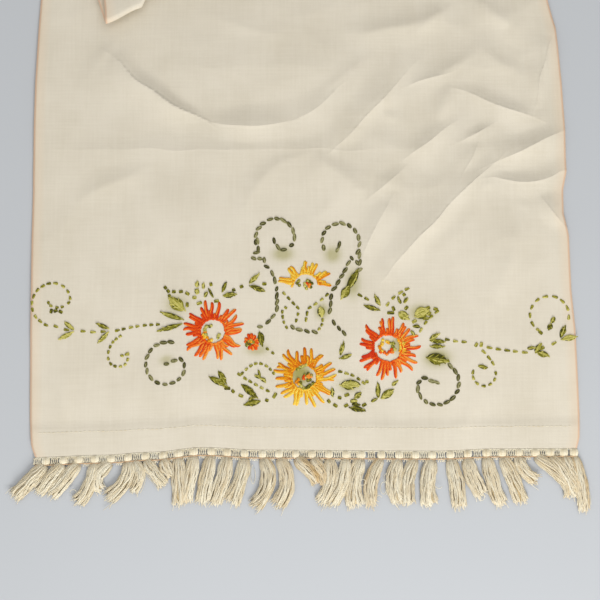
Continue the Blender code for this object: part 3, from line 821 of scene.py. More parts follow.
def lay_out(across, along):
    """Plan place and height of the cloth's back side, folded back and forth."""
    x = np.array(across, dtype=float)
    y = np.array(along, dtype=float)
    y = y + soft_table(x, NEAR_HEM_WAVE) * np.exp(-y / HEM_WAVE_FADE)
    y = y + far_hem_wave(x) * np.exp((y - CLOTH_LENGTH) / HEM_WAVE_FADE)

    past_front, travel = past_fold(x, y, FRONT_FOLD_ALONG, FRONT_FOLD_SLANT)
    front_reach, front_rise = fold_over(past_front, FRONT_FOLD_RADIUS)
    x = x + travel[0] * (front_reach - past_front)
    y = y + travel[1] * (front_reach - past_front)
    on_top = past_front > 0.0

    past_back, travel = past_fold(x, y, BACK_FOLD_ALONG, BACK_FOLD_SLANT)
    back_reach, back_rise = fold_over(past_back, BACK_FOLD_RADIUS)
    back_reach = np.where(on_top, math.pi * BACK_FOLD_RADIUS - past_back, back_reach)
    x = x + travel[0] * (back_reach - past_back)
    y = y + travel[1] * (back_reach - past_back)

    from_front = np.maximum(-front_reach, 0.0)
    from_back = np.maximum(-back_reach, 0.0)
    second = (past_back > math.pi * BACK_FOLD_RADIUS) | on_top
    pull = soft_table(x, CORNER_PULL) * bell(from_front / CORNER_PULL_REACH)
    y = y - np.where(second, pull, 0.0)

    fold_room = 2.0 * BACK_FOLD_RADIUS - SECOND_LAYER_TOP
    pile = SECOND_LAYER_TOP + fold_room * bell(from_back / BACK_FOLD_REACH)
    pile = pile + FRONT_FOLD_LIFT * bell(from_front / FRONT_FOLD_REACH)
    settled = 2.0 * FRONT_FOLD_RADIUS - THIRD_LAYER_GAP
    top_gap = front_rise - settled * (1.0 - bell(from_front / FRONT_FOLD_REACH))
    drop = 1.0 - smooth_step(np.maximum(back_reach, 0.0) / DROP_REACH)
    near = crease_height(x, y, [row[:-1] for row in CREASES])
    near = near * (1.0 - fade(y, CREASE_FADE_START, CREASE_FADE_END))
    far = crease_height(x, y, FAR_CREASES) * fade(y, FAR_CREASE_START, FAR_CREASE_FULL)
    far = far * (1.0 - fade(y, FAR_CREASE_FADE, FAR_CREASE_END))

    first_layer = near + back_rise
    third_layer = (pile + top_gap) * drop + far
    z = np.where(on_top, third_layer, np.where(second, pile, first_layer))
    return x, y, z


def selvage(along, side):
    """Across of one selvage on the flat cloth."""
    return float(np.interp(along, [row[0] * MM for row in SELVAGES], [row[side] * MM for row in SELVAGES]))


def find_row_shift():
    """Shift from the plan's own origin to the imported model's frame."""
    alongs = np.linspace(0.0, CLOTH_LENGTH, 400)
    left, _, _ = lay_out(np.array([selvage(along, 1) for along in alongs]), alongs)
    acrosses = np.linspace(selvage(0.0, 1), selvage(0.0, 2), 200)
    _, near, _ = lay_out(acrosses, np.zeros_like(acrosses))
    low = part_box("cloth")[0]
    return np.array((low[0] - left.min(), low[1] - near.min(), 0.0))


ROW_SHIFT = find_row_shift()


def hem_turn(along, sizes):
    """Plan distance from a hem's edge, and lift, of cloth that turns under at that edge."""
    inner = sizes.hem_gap / 2
    radius = inner + sizes.thickness / 2
    angle = np.clip(along / radius, -math.pi / 2, math.pi / 2)
    reach = inner * (1.0 - np.cos(angle)) + np.maximum(np.abs(along) - math.pi * radius / 2, 0.0)
    past_stitches = along - sizes.hem_depth
    lift = inner * (1.0 + np.sin(angle)) + sizes.thickness
    lift = lift * (1.0 - smooth_step((past_stitches + HEM_EASE_LEAD) / HEM_EASE_REACH))
    groove = sizes.groove * bell(past_stitches / HEM_GROOVE_REACH)
    return reach, np.maximum(lift - groove * (along > 0.0), 0.0)


def crumple_height(across, along, sizes):
    """Height of the slow waves and the fine crumples on the flat cloth."""
    waves = sizes.undulation * np.maximum(slow_noise(across, along, WAVE_LENGTH, 11) + 0.25, 0.0)
    bent_x = across + CRUMPLE_BEND * slow_noise(across, along, 0.09, 3)
    bent_y = along + CRUMPLE_BEND * slow_noise(across, along, 0.08, 4)
    crumples = np.zeros(np.shape(across))
    for wavelength, seed, share in CRUMPLES:
        crest = 1.0 - np.abs(slow_noise(bent_x, bent_y, wavelength, seed))
        crumples = crumples + share * np.maximum(crest, 0.0)
    strength = 0.35 + 0.65 * fade(across, *CRUMPLED_ACROSS) * fade(along, *CRUMPLED_ALONG)
    free = fade(along, *FREE_OF_HEM) * fade(CLOTH_LENGTH - along, *FREE_OF_HEM)
    single = fade(along, *SINGLE_BEFORE) + fade(along, *SINGLE_AFTER)
    return free * single * (waves + sizes.wrinkle * strength * crumples)


def cloth_back(across, along):
    """Points of the cloth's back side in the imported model's frame."""
    sizes = bpy.context.scene.runner_cloth
    across = np.asarray(across, dtype=float)
    along = np.asarray(along, dtype=float)
    near_reach, near_lift = hem_turn(along, sizes)
    far_reach, far_lift = hem_turn(CLOTH_LENGTH - along, sizes)
    near = along < CLOTH_LENGTH / 2
    flat_along = np.where(near, near_reach, CLOTH_LENGTH - far_reach)
    x, y, z = lay_out(across, flat_along)
    z = z + np.where(near, near_lift, far_lift) + crumple_height(across, flat_along, sizes)
    return np.stack((x, y, np.maximum(z, 0.0)), axis=-1) + ROW_SHIFT


def cloth_face(across, along, lift):
    """Points over the cloth's face side, and the face's own direction there."""
    step = 0.0006
    right = cloth_back(across + step, along) - cloth_back(across - step, along)
    onward = cloth_back(across, along + step) - cloth_back(across, along - step)
    up = unit(np.cross(right, onward))
    thickness = bpy.context.scene.runner_cloth.thickness
    return cloth_back(across, along) + up * (thickness + np.asarray(lift)[..., None]), up


def link_object(name, data):
    """New object in the scene."""
    item = bpy.data.objects.new(name, data)
    bpy.context.scene.collection.objects.link(item)
    return item


def make_piece(name, mesh, material):
    """Object of a finished mesh that rides on the runner's one body."""
    mesh.materials.append(material)
    mesh.shade_smooth()
    item = link_object(name, mesh)
    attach(item, "root")
    return item


def keep_values(mesh, name, values):
    """Keep one number or one vector for each point of a mesh."""
    kind, field = ("FLOAT_VECTOR", "vector") if values.size > len(mesh.vertices) else ("FLOAT", "value")
    mesh.attributes.new(name, kind, "POINT").data.foreach_set(field, values.ravel())


class ThreadMesh:
    """Round strands of thread, collected and made into one mesh."""

    def __init__(self, sides):
        self.sides = sides
        self.points = []
        self.faces = []
        self.values = {"shade": [], "stain": [], "thread": []}
        self.count = 0

    def add(self, centres, ups, widths, heights, shades, stains=0.0):
        """Add strands: centres, ups (strands, rings, 3), half widths, half heights and shades."""
        strands, rings, _ = centres.shape
        travel = unit(np.gradient(centres, axis=1))
        side = unit(np.cross(travel, np.broadcast_to(ups, centres.shape)))
        crown = np.cross(side, travel)
        angles = np.arange(self.sides) * math.tau / self.sides
        wide = np.broadcast_to(widths, (strands, rings))[..., None] * np.cos(angles)
        high = np.broadcast_to(heights, (strands, rings))[..., None] * np.sin(angles)
        around = side[:, :, None, :] * wide[..., None] + crown[:, :, None, :] * high[..., None]
        self.points.append((centres[:, :, None, :] + around).reshape(-1, 3))
        self.add_faces(strands, rings)
        steps = np.linalg.norm(np.diff(centres, axis=1), axis=-1)
        run = np.concatenate((np.zeros((strands, 1)), np.cumsum(steps, axis=1)), axis=1) / MM
        shape = (strands, rings, self.sides)
        parts = (np.cos(angles), np.sin(angles), run[..., None])
        thread = np.stack([np.broadcast_to(part, shape) for part in parts], axis=-1)
        self.values["thread"].append(thread.reshape(-1, 3))
        shades = np.asarray(shades, dtype=float)
        shades = shades[:, None] if shades.ndim == 1 else shades
        for name, value in (("shade", shades), ("stain", stains)):
            ringed = np.broadcast_to(value, (strands, rings))[..., None]
            self.values[name].append(np.broadcast_to(ringed, shape).ravel())

    def add_faces(self, strands, rings):
        """Add the faces of strands whose points come next."""
        sides = self.sides
        first = self.count + np.arange(strands)[:, None, None] * rings * sides
        ring = first + np.arange(rings - 1)[None, :, None] * sides
        corner = np.arange(sides)
        following = (corner + 1) % sides
        quads = (ring + corner, ring + sides + corner, ring + sides + following, ring + following)
        self.faces.extend(np.stack(quads, axis=-1).reshape(-1, 4).tolist())
        self.faces.extend((first[:, 0] + corner).tolist())
        self.faces.extend((first[:, 0] + (rings - 1) * sides + corner[::-1]).tolist())
        self.count += strands * rings * sides

    def build(self, name, material, slot):
        """One object of all the strands."""
        mesh = bpy.data.meshes.new(name)
        mesh.from_pydata(np.concatenate(self.points).tolist(), [], self.faces)
        for label, values in self.values.items():
            keep_values(mesh, label, np.concatenate(values))
        return make_piece(name, mesh, material)


class StitchPlan:
    """Strands of embroidery on the flat cloth, of one kind of thread."""

    RINGS = 8
    SHARES = np.linspace(0.0, 1.0, RINGS)
    # Share of its full size that a strand has at each ring
    FULLNESS = np.minimum(1.0, np.sin(math.pi * SHARES) * 2.2 + 0.02)
    # Strand heights from a strand's ends up to its middle, and from the ends up to the cloth
    RISE = 1.7
    SINK = 1.1
    # Unevenness of the shade along a strand, and its shift from one strand to the next
    MOTTLE = 0.16
    MOTTLE_TURN = 2.4

    def __init__(self):
        self.points = []
        self.lifts = []
        self.widths = []
        self.shades = []

    def strand(self, points, width, shade, height=1.0, taper=0.55):
        """Lay one strand through points (rings, 2), sunk in the cloth at both ends."""
        high = bpy.context.scene.runner_stitches.strand_height
        phase = self.MOTTLE_TURN * len(self.shades)
        self.points.append(points)
        self.lifts.append(high * height * (self.RISE * self.FULLNESS - self.SINK))
        self.widths.append(width * (taper + (1.0 - taper) * self.FULLNESS))
        self.shades.append(shade + self.MOTTLE * np.sin(math.tau * self.SHARES + phase))

    def path(self, start, end, bow=0.0, sway=0.0):
        """Points from start to end, bowed to the left, with a small sway."""
        share = self.SHARES
        offset = 4.0 * bow * share * (1.0 - share) + sway * np.sin(math.tau * share)
        return start + (end - start) * share[:, None] + left_of(end - start) * offset[:, None]

    def build(self, name, far, material, slot):
        """One object of the strands, at the near end or turned to the far end."""
        across, along = np.moveaxis(np.array(self.points), -1, 0)
        if far:
            across, along = -across, CLOTH_LENGTH - along
        centres, ups = cloth_face(across, along, np.array(self.lifts))
        threads = ThreadMesh(6)
        high = bpy.context.scene.runner_stitches.strand_height
        threads.add(centres, ups, np.array(self.widths), high, np.array(self.shades))
        return threads.build(name, material, slot)


def set_socket(tree, socket, value):
    """Link a node's socket to an output, or give it a number or a colour."""
    if isinstance(value, bpy.types.NodeSocket):
        tree.links.new(value, socket)
    elif hasattr(value, "__len__"):
        socket.default_value = (*value[:3], 1.0)
    else:
        socket.default_value = value


def place_node(tree, node):
    """Put a node in the column after all that it reads, under that column's other nodes."""
    sources = [link.from_node.location.x for socket in node.inputs for link in socket.links]
    column = max(sources, default=-200) + 200
    others = [other for other in tree.nodes if other != node and other.location.x == column]
    node.location = (column, -200 * len(others))


def add_node(tree, kind, group=None, **inputs):
    """Node with values or links for its named inputs."""
    node = tree.nodes.new(kind)
    if group:
        node.node_tree = group
    for name, value in inputs.items():
        set_socket(tree, node.inputs[name.replace("_", " ")], value)
    place_node(tree, node)
    return node


def math_node(tree, operation, first, second=0.0):
    """Output of a math node on one or two values or links."""
    node = tree.nodes.new("ShaderNodeMath")
    node.operation = operation
    set_socket(tree, node.inputs[0], first)
    set_socket(tree, node.inputs[1], second)
    place_node(tree, node)
    return node.outputs[0]


def mix_colours(tree, share, first, second):
    """Output of a mix of two colours by a share."""
    node = tree.nodes.new("ShaderNodeMix")
    node.data_type = "RGBA"
    for index, value in ((0, share), (6, first), (7, second)):
        set_socket(tree, node.inputs[index], value)
    place_node(tree, node)
    return node.outputs[2]


def noise_node(tree, place, scale, detail=2.0):
    """Output of a noise texture, from 0 to 1."""
    return add_node(tree, "ShaderNodeTexNoise", Vector=place, Scale=scale, Detail=detail).outputs["Fac"]


def kept_value(tree, name, output="Fac"):
    """Output that reads what a mesh keeps for each point."""
    node = add_node(tree, "ShaderNodeAttribute")
    node.attribute_name = name
    return node.outputs[output]


def kept_parts(tree, name):
    """Outputs of the three parts of a vector that a mesh keeps for each point."""
    return add_node(tree, "ShaderNodeSeparateXYZ", Vector=kept_value(tree, name, "Vector")).outputs


def above(tree, value, level, strength):
    """How far a value is above a level, times a strength."""
    return math_node(tree, "MULTIPLY", math_node(tree, "SUBTRACT", value, level), strength)


def nearness(tree, distance, reach):
    """1 at no distance, falling to 0 at the reach."""
    share = math_node(tree, "DIVIDE", distance, reach)
    return math_node(tree, "MAXIMUM", math_node(tree, "SUBTRACT", 1.0, share), 0.0)


def new_group(name, **inputs):
    """Shader node group with named inputs, and the outputs of its node that reads them."""
    group = bpy.data.node_groups.new(name, "ShaderNodeTree")
    for label, default in inputs.items():
        label = label.replace("_", " ")
        socket = group.interface.new_socket(label, in_out="INPUT", socket_type="NodeSocketFloat")
        socket.default_value = default
    return group, add_node(group, "NodeGroupInput").outputs


def close_group(group, **outputs):
    """The node group with its named outputs."""
    for label in outputs:
        group.interface.new_socket(label, in_out="OUTPUT", socket_type="NodeSocketFloat")
    add_node(group, "NodeGroupOutput", **outputs)
    return group


def ply_twist_group():
    """Plies twisted round a thread: their relief, and a mask of the grooves between them for painted shade.
    """
    if "Ply twist" in bpy.data.node_groups:
        return bpy.data.node_groups["Ply twist"]
    group, given = new_group("Ply twist", Plies=2.0, Turn=2.0)
    parts = kept_parts(group, "thread")
    angle = math_node(group, "ARCTAN2", parts["Y"], parts["X"])
    turned = math_node(group, "MULTIPLY", angle, given["Plies"])
    run = math_node(group, "DIVIDE", parts["Z"], given["Turn"])
    run = math_node(group, "MULTIPLY", run, math.tau)
    wave = math_node(group, "SINE", math_node(group, "ADD", turned, run))
    relief = math_node(group, "ABSOLUTE", wave)
    groove = math_node(group, "SUBTRACT", 1.0, math_node(group, "SMOOTH_MIN", relief, 0.9))
    return close_group(group, Relief=relief, Groove=groove)


def uneven_shade_group():
    """Shade of a strand, unsettled by patches, and how much painted shadow its lower side gets."""
    if "Uneven shade" in bpy.data.node_groups:
        return bpy.data.node_groups["Uneven shade"]
    group, given = new_group("Uneven shade", Patch_scale=300.0, Patch_strength=0.4, Shadow=0.5)
    place = add_node(group, "ShaderNodeTexCoord").outputs["Object"]
    noise = noise_node(group, place, given["Patch scale"])
    patches = above(group, noise, 0.5, given["Patch strength"])
    shade = math_node(group, "ADD", kept_value(group, "shade"), patches)
    # Painted shadow on the strand's lower side, from the angle round it
    low = math_node(group, "SUBTRACT", 0.35, kept_parts(group, "thread")["Y"])
    low = math_node(group, "MULTIPLY", math_node(group, "MAXIMUM", low, 0.0), 1.2)
    low = math_node(group, "MULTIPLY", low, given["Shadow"])
    return close_group(group, Shade=shade, Underside=math_node(group, "MINIMUM", low, 1.0))


def crest_edge_group():
    """Crisp edge along a crease's crest, from the distance to it and its steepness."""
    if "Crest edge" in bpy.data.node_groups:
        return bpy.data.node_groups["Crest edge"]
    group, given = new_group("Crest edge", Distance=9.0, Slope=0.0)
    near = nearness(group, math_node(group, "ABSOLUTE", given["Distance"]), 2.2)
    sharp = math_node(group, "POWER", near, 2.0)
    return close_group(group, Height=math_node(group, "MULTIPLY", sharp, given["Slope"]))


def new_material(name, roughness, sheen, gloss=0.35):
    """Material, with its node tree and its shader."""
    material = bpy.data.materials.new(name)
    material.use_nodes = True
    tree = material.node_tree
    shader = tree.nodes["Principled BSDF"]
    shader.location = (2400, 0)
    tree.nodes["Material Output"].location = (2800, 0)
    for label, value in (("Roughness", roughness), ("Sheen Weight", sheen), ("Specular IOR Level", gloss)):
        set_socket(tree, shader.inputs[label], value)
    return material, tree, shader


def darkened(shade, share):
    """Colour at a share of its brightness."""
    return tuple(share * value for value in shade)


def uneven_shade(tree, scale, strength, shadow):
    """Outputs of a strand's shade and of the painted shadow on its lower side."""
    inputs = {"Patch_scale": scale, "Patch_strength": strength, "Shadow": shadow}
    return add_node(tree, "ShaderNodeGroup", uneven_shade_group(), **inputs).outputs


def twist_plies(tree, shader, base, underside, painted_shade, turn, groove, relief):
    """Give a strand its twisted plies: painted shade in their grooves and underneath, and raised."""
    twist = add_node(tree, "ShaderNodeGroup", ply_twist_group(), Plies=2.0, Turn=turn).outputs
    base = mix_colours(tree, math_node(tree, "MULTIPLY", twist["Groove"], groove), base, painted_shade)
    base = mix_colours(tree, underside, base, painted_shade)
    set_socket(tree, shader.inputs["Base Color"], base)
    bump = add_node(tree, "ShaderNodeBump", Height=twist["Relief"], Strength=relief, Distance=0.0002)
    set_socket(tree, shader.inputs["Normal"], bump.outputs["Normal"])


def thread_material(thread):
    """Material and slot of an embroidery thread, shaded from deep to light, with painted shade in its grooves
    and under it.
    """
    label, slot, turn, patches = THREADS[thread]
    name = label + " thread"
    if name in bpy.data.materials:
        return bpy.data.materials[name], slot
    shades = bpy.context.scene.runner_colours
    deep, middle, light = (getattr(shades, label + ending) for ending in ("_deep", "", "_light"))
    material, tree, shader = new_material(name, 0.55, 0.0, 0.18)
    uneven = uneven_shade(tree, 420.0, patches, 0.55)
    ramp = add_node(tree, "ShaderNodeValToRGB", Fac=uneven["Shade"])
    ramp.color_ramp.elements[0].color = (*deep, 1.0)
    ramp.color_ramp.elements[1].color = (*light, 1.0)
    ramp.color_ramp.elements.new(0.5).color = (*middle, 1.0)
    base = ramp.outputs["Color"]
    # Painted shade in the grooves between the plies and under the thread, in the deep colour at 0.28 of its
    # brightness
    twist_plies(tree, shader, base, uneven["Underside"], darkened(deep, 0.28), turn, 0.45, 0.6)
    return material, slot


def yarn_material(name, light, turn):
    """Soft cotton yarn of the trim, with its stains, and painted shade in its grooves and under it."""
    if name in bpy.data.materials:
        return bpy.data.materials[name]
    shades = bpy.context.scene.runner_colours
    material, tree, shader = new_material(name, 0.85, 0.25)
    uneven = uneven_shade(tree, 160.0, 0.8, 0.28)
    base = mix_colours(tree, uneven["Shade"], shades.yarn_dark, light)
    base = mix_colours(tree, kept_value(tree, "stain"), base, shades.stain)
    # Colour of the painted shade in the yarn's grooves and under it
    painted_shade = darkened(shades.yarn_dark, 0.42)
    twist_plies(tree, shader, base, uneven["Underside"], painted_shade, turn, 0.20, 0.5)
    return material


def cream_yarn():
    """Cream yarn of the trim."""
    return yarn_material("cream yarn", bpy.context.scene.runner_colours.yarn, 3.0)


def cloth_material():
    """Plain woven cotton with slubs, tinted selvages, run dye, painted shade between its threads and crisp
    crests.
    """
    shades = bpy.context.scene.runner_colours
    material, tree, shader = new_material("cream cotton", 0.88, 0.20)
    flat = kept_value(tree, "flat", "Vector")
    parts = add_node(tree, "ShaderNodeSeparateXYZ", Vector=flat).outputs
    across, along, edge = parts["X"], parts["Y"], parts["Z"]

    drift = math_node(tree, "MULTIPLY", noise_node(tree, flat, 0.11), WEAVE_DRIFT)
    threads = []
    for place in (across, along):
        turns = math_node(tree, "MULTIPLY", math_node(tree, "ADD", place, drift), math.pi * THREADS_PER_MM)
        threads.append(math_node(tree, "SINE", turns))
    weave = math_node(tree, "ABSOLUTE", math_node(tree, "MULTIPLY", *threads))

    slubs = []
    for across_rate, along_rate in SLUB_RATES:
        x = math_node(tree, "MULTIPLY", across, across_rate)
        y = math_node(tree, "MULTIPLY", along, along_rate)
        stretched = add_node(tree, "ShaderNodeCombineXYZ", X=x, Y=y)
        slubs.append(noise_node(tree, stretched.outputs["Vector"], 1.0, 3.0))
    slubs = math_node(tree, "ADD", *slubs)
    patches = above(tree, noise_node(tree, flat, 0.022, 4.0), 0.42, 1.3)
    worn = math_node(tree, "ADD", above(tree, slubs, 0.82, 0.60), patches)
    tint = nearness(tree, edge, SELVAGE_TINT_REACH)
    line_away = math_node(tree, "ABSOLUTE", math_node(tree, "SUBTRACT", edge, SELVAGE_LINE_PLACE))
    # Painted shade in the gaps between the woven threads
    weave_shade = math_node(tree, "SUBTRACT", 1.0, weave)

    layers = (
        # share, colour
        (math_node(tree, "MAXIMUM", worn, 0.0), shades.cloth_streak),
        (math_node(tree, "MULTIPLY", tint, 0.6), shades.selvage),
        (math_node(tree, "MULTIPLY", nearness(tree, line_away, 1.0), 0.6), shades.selvage_line),
        (kept_value(tree, "dye"), shades.dye),
        (math_node(tree, "MULTIPLY", weave_shade, 0.11), darkened(shades.cloth_streak, 0.5)),
    )
    base = shades.cloth
    for share, shade in layers:
        base = mix_colours(tree, share, base, shade)
    set_socket(tree, shader.inputs["Base Color"], base)

    edges = 0.0
    for group in CREST_GROUPS:
        parts = kept_parts(tree, f"crest {group}")
        crest = add_node(tree, "ShaderNodeGroup", crest_edge_group(), Distance=parts["X"], Slope=parts["Y"])
        edges = math_node(tree, "ADD", crest.outputs["Height"], edges)
    edge_bump = add_node(tree, "ShaderNodeBump", Height=edges, Strength=1.0, Distance=0.0012)
    pucker = math_node(tree, "MULTIPLY", noise_node(tree, flat, 0.30, 3.0), 1.4)
    relief = math_node(tree, "ADD", math_node(tree, "MULTIPLY", slubs, 0.7), pucker)
    relief = math_node(tree, "ADD", weave, relief)
    bump = add_node(tree, "ShaderNodeBump", Height=relief, Strength=0.35, Distance=0.00018)
    set_socket(tree, bump.inputs["Normal"], edge_bump.outputs["Normal"])
    set_socket(tree, shader.inputs["Normal"], bump.outputs["Normal"])
    return material


class RUNNER_OT_cloth(bpy.types.Operator):
    """Lay the hemmed sheet of cotton on its folds"""

    bl_idname = "table_runner.lay_cloth"
    bl_label = "Lay the cloth"

    def execute(self, context):
        sizes = context.scene.runner_cloth
        across, along, edge = self.flat_grid(sizes.columns)
        points = cloth_back(across, along)
        corner = np.arange(across.size).reshape(across.shape)
        quads = np.stack((corner[:-1, :-1], corner[:-1, 1:], corner[1:, 1:], corner[1:, :-1]), axis=-1)
        mesh = bpy.data.meshes.new("runner_cloth")
        mesh.from_pydata(points.reshape(-1, 3).tolist(), [], quads.reshape(-1, 4).tolist())
        keep_values(mesh, "flat", np.stack((across, along, edge), axis=-1) / MM)
        keep_values(mesh, "dye", self.run_dye(across, along))
        plan_x, plan_y, _ = lay_out(across, np.clip(along, 0.0, CLOTH_LENGTH))
        for group in CREST_GROUPS:
            distance, slope = crest_lines(plan_x, plan_y, group)
            slope = slope * (along < CREASE_FADE_START)
            keep_values(mesh, f"crest {group}", np.stack((distance, slope, 0.0 * slope), axis=-1))
        sheet = make_piece("runner_cloth", mesh, cloth_material())
        thick = sheet.modifiers.new("thickness of the cotton", "SOLIDIFY")
        thick.thickness = sizes.thickness
        thick.offset = 1.0
        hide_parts("cloth")
        return {"FINISHED"}

    def flat_grid(self, columns):
        """Across, along and distance from the nearest selvage of the grid's points."""
        rows = []
        for row_along, slope in self.grid_rows():
            held = min(abs(row_along), CLOTH_LENGTH - abs(row_along - CLOTH_LENGTH))
            left, right = (selvage(held + slope * selvage(held, side), side) for side in (1, 2))
            line = np.linspace(left, right, columns + 1)
            rows.append((line, row_along + slope * line, np.minimum(line - left, right - line)))
        return np.moveaxis(np.array(rows), 1, 0)

    def grid_rows(self):
        """Along and slope of every row of the grid."""
        rows = [(FIRST_ROW * MM, 0.0)]
        start = FIRST_ROW
        slant = 0.0
        for end, spacing, end_slant in ROW_BANDS:
            steps = max(1, round((end - start) / spacing))
            for step in range(1, steps + 1):
                share = step / steps
                tilt = math.radians(slant + share * (end_slant - slant))
                rows.append(((start + share * (end - start)) * MM, math.tan(tilt)))
            start = end
            slant = end_slant
        return rows

    def run_dye(self, across, along):
        """How much dye has run into the cloth at each point."""
        total = np.zeros_like(across)
        for x, y in ((across, along), (-across, CLOTH_LENGTH - along)):
            for x0, y0, half_width, half_depth, strength in DYE_STAINS:
                away = ((x - x0 * MM) / (half_width * MM)) ** 2 + ((y - y0 * MM) / (half_depth * MM)) ** 2
                total = np.maximum(total, strength * np.minimum(1.5 * np.exp(-away), 1.0))
        return total


class RUNNER_OT_hem_stitches(bpy.types.Operator):
    """Sew the running stitches that hold both hems"""

    bl_idname = "table_runner.stitch_hems"
    bl_label = "Stitch the hems"

    def execute(self, context):
        depth = context.scene.runner_cloth.hem_depth
        pitch = context.scene.runner_stitches.hem_pitch
        rng = np.random.default_rng(31)
        threads = ThreadMesh(6)
        starts = np.arange(-HEM_STITCHES_REACH, HEM_STITCHES_REACH, pitch)[:, None]
        share = np.linspace(0.0, 1.0, 5)
        across = starts + share * pitch * HEM_STITCH_SHARE
        lift = np.broadcast_to(0.00022 * np.sin(math.pi * share) - 0.00008, across.shape)
        for far in (False, True):
            along = np.full(across.shape, depth) + rng.normal(0.0, 0.00012, len(starts))[:, None]
            centres, ups = cloth_face(across, CLOTH_LENGTH - along if far else along, lift)
            threads.add(centres, ups, 0.00019, 0.00016, rng.uniform(0.5, 0.9, len(starts)))
        threads.build("hem_stitches", cream_yarn(), "cloth")
        return {"FINISHED"}


def far_tassels():
    """Rows of the far tassels, in the same columns as the near ones."""
    rows = []
    for index in range(FAR_TASSEL_COUNT):
        root = (index - (FAR_TASSEL_COUNT - 1) / 2) * FAR_TASSEL_PITCH
        sway = FAR_TASSEL_SWAY * math.sin(1.1 * index) + 0.02 * root
        reach = FAR_TASSEL_REACH + 1.5 * math.sin(2.3 * index)
        stain = 0.2 + 0.1 * math.sin(0.9 * index)
        rows.append((root, sway, 1.5 * math.sin(0.7 * index), reach, FAR_TASSEL_SPREAD, stain))
    return rows


def near_hem_edge(across):
    """Plan place of the near hem's edge."""
    return soft_table(across, NEAR_HEM_WAVE)


def far_hem_edge(across):
    """Place of the far hem's edge, seen from the far end."""
    return -far_hem_wave(-np.asarray(across))


def place_near(points):
    """Near trim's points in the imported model's frame."""
    return points + ROW_SHIFT


def place_far(points):
    """Far trim's points, made like the near ones, carried to the far hem."""
    across = np.array((-0.1, 0.0, 0.1))
    ends_x, ends_y, _ = lay_out(across, np.full(3, CLOTH_LENGTH))
    wave = far_hem_wave(across[::2])
    rise = ends_y[2] - ends_y[0] - (wave[1] - wave[0])
    turn = math.atan2(rise, ends_x[2] - ends_x[0]) + math.pi
    x = points[..., 0] * math.cos(turn) - points[..., 1] * math.sin(turn) + ends_x[1]
    y = points[..., 0] * math.sin(turn) + points[..., 1] * math.cos(turn) + ends_y[1]
    return np.stack((x, y, points[..., 2]), axis=-1) + ROW_SHIFT


Tassel = namedtuple("Tassel", "root tip sway reach spread stain")


class Trim:
    """One trim: its tassels, and its hem's edge as seen from its own end."""

    UP = np.array((0.0, 0.0, 1.0))

    def __init__(self, end, rows, edge, place):
        self.end = end
        self.tassels = [Tassel(*row) for row in rows]
        self.edge = edge
        self.place = place

    def lay(self, threads, x, y, z, width, height, shades, stains=0.0):
        """Add a strand through its places, or a strand for each row of places."""
        points = self.place(np.stack(np.broadcast_arrays(x, y, z), axis=-1))
        threads.add(points.reshape(-1, *points.shape[-2:]), self.UP, width, height, shades, stains)


TRIMS = (
    Trim("near", NEAR_TASSELS, near_hem_edge, place_near),
    Trim("far", far_tassels(), far_hem_edge, place_far),
)


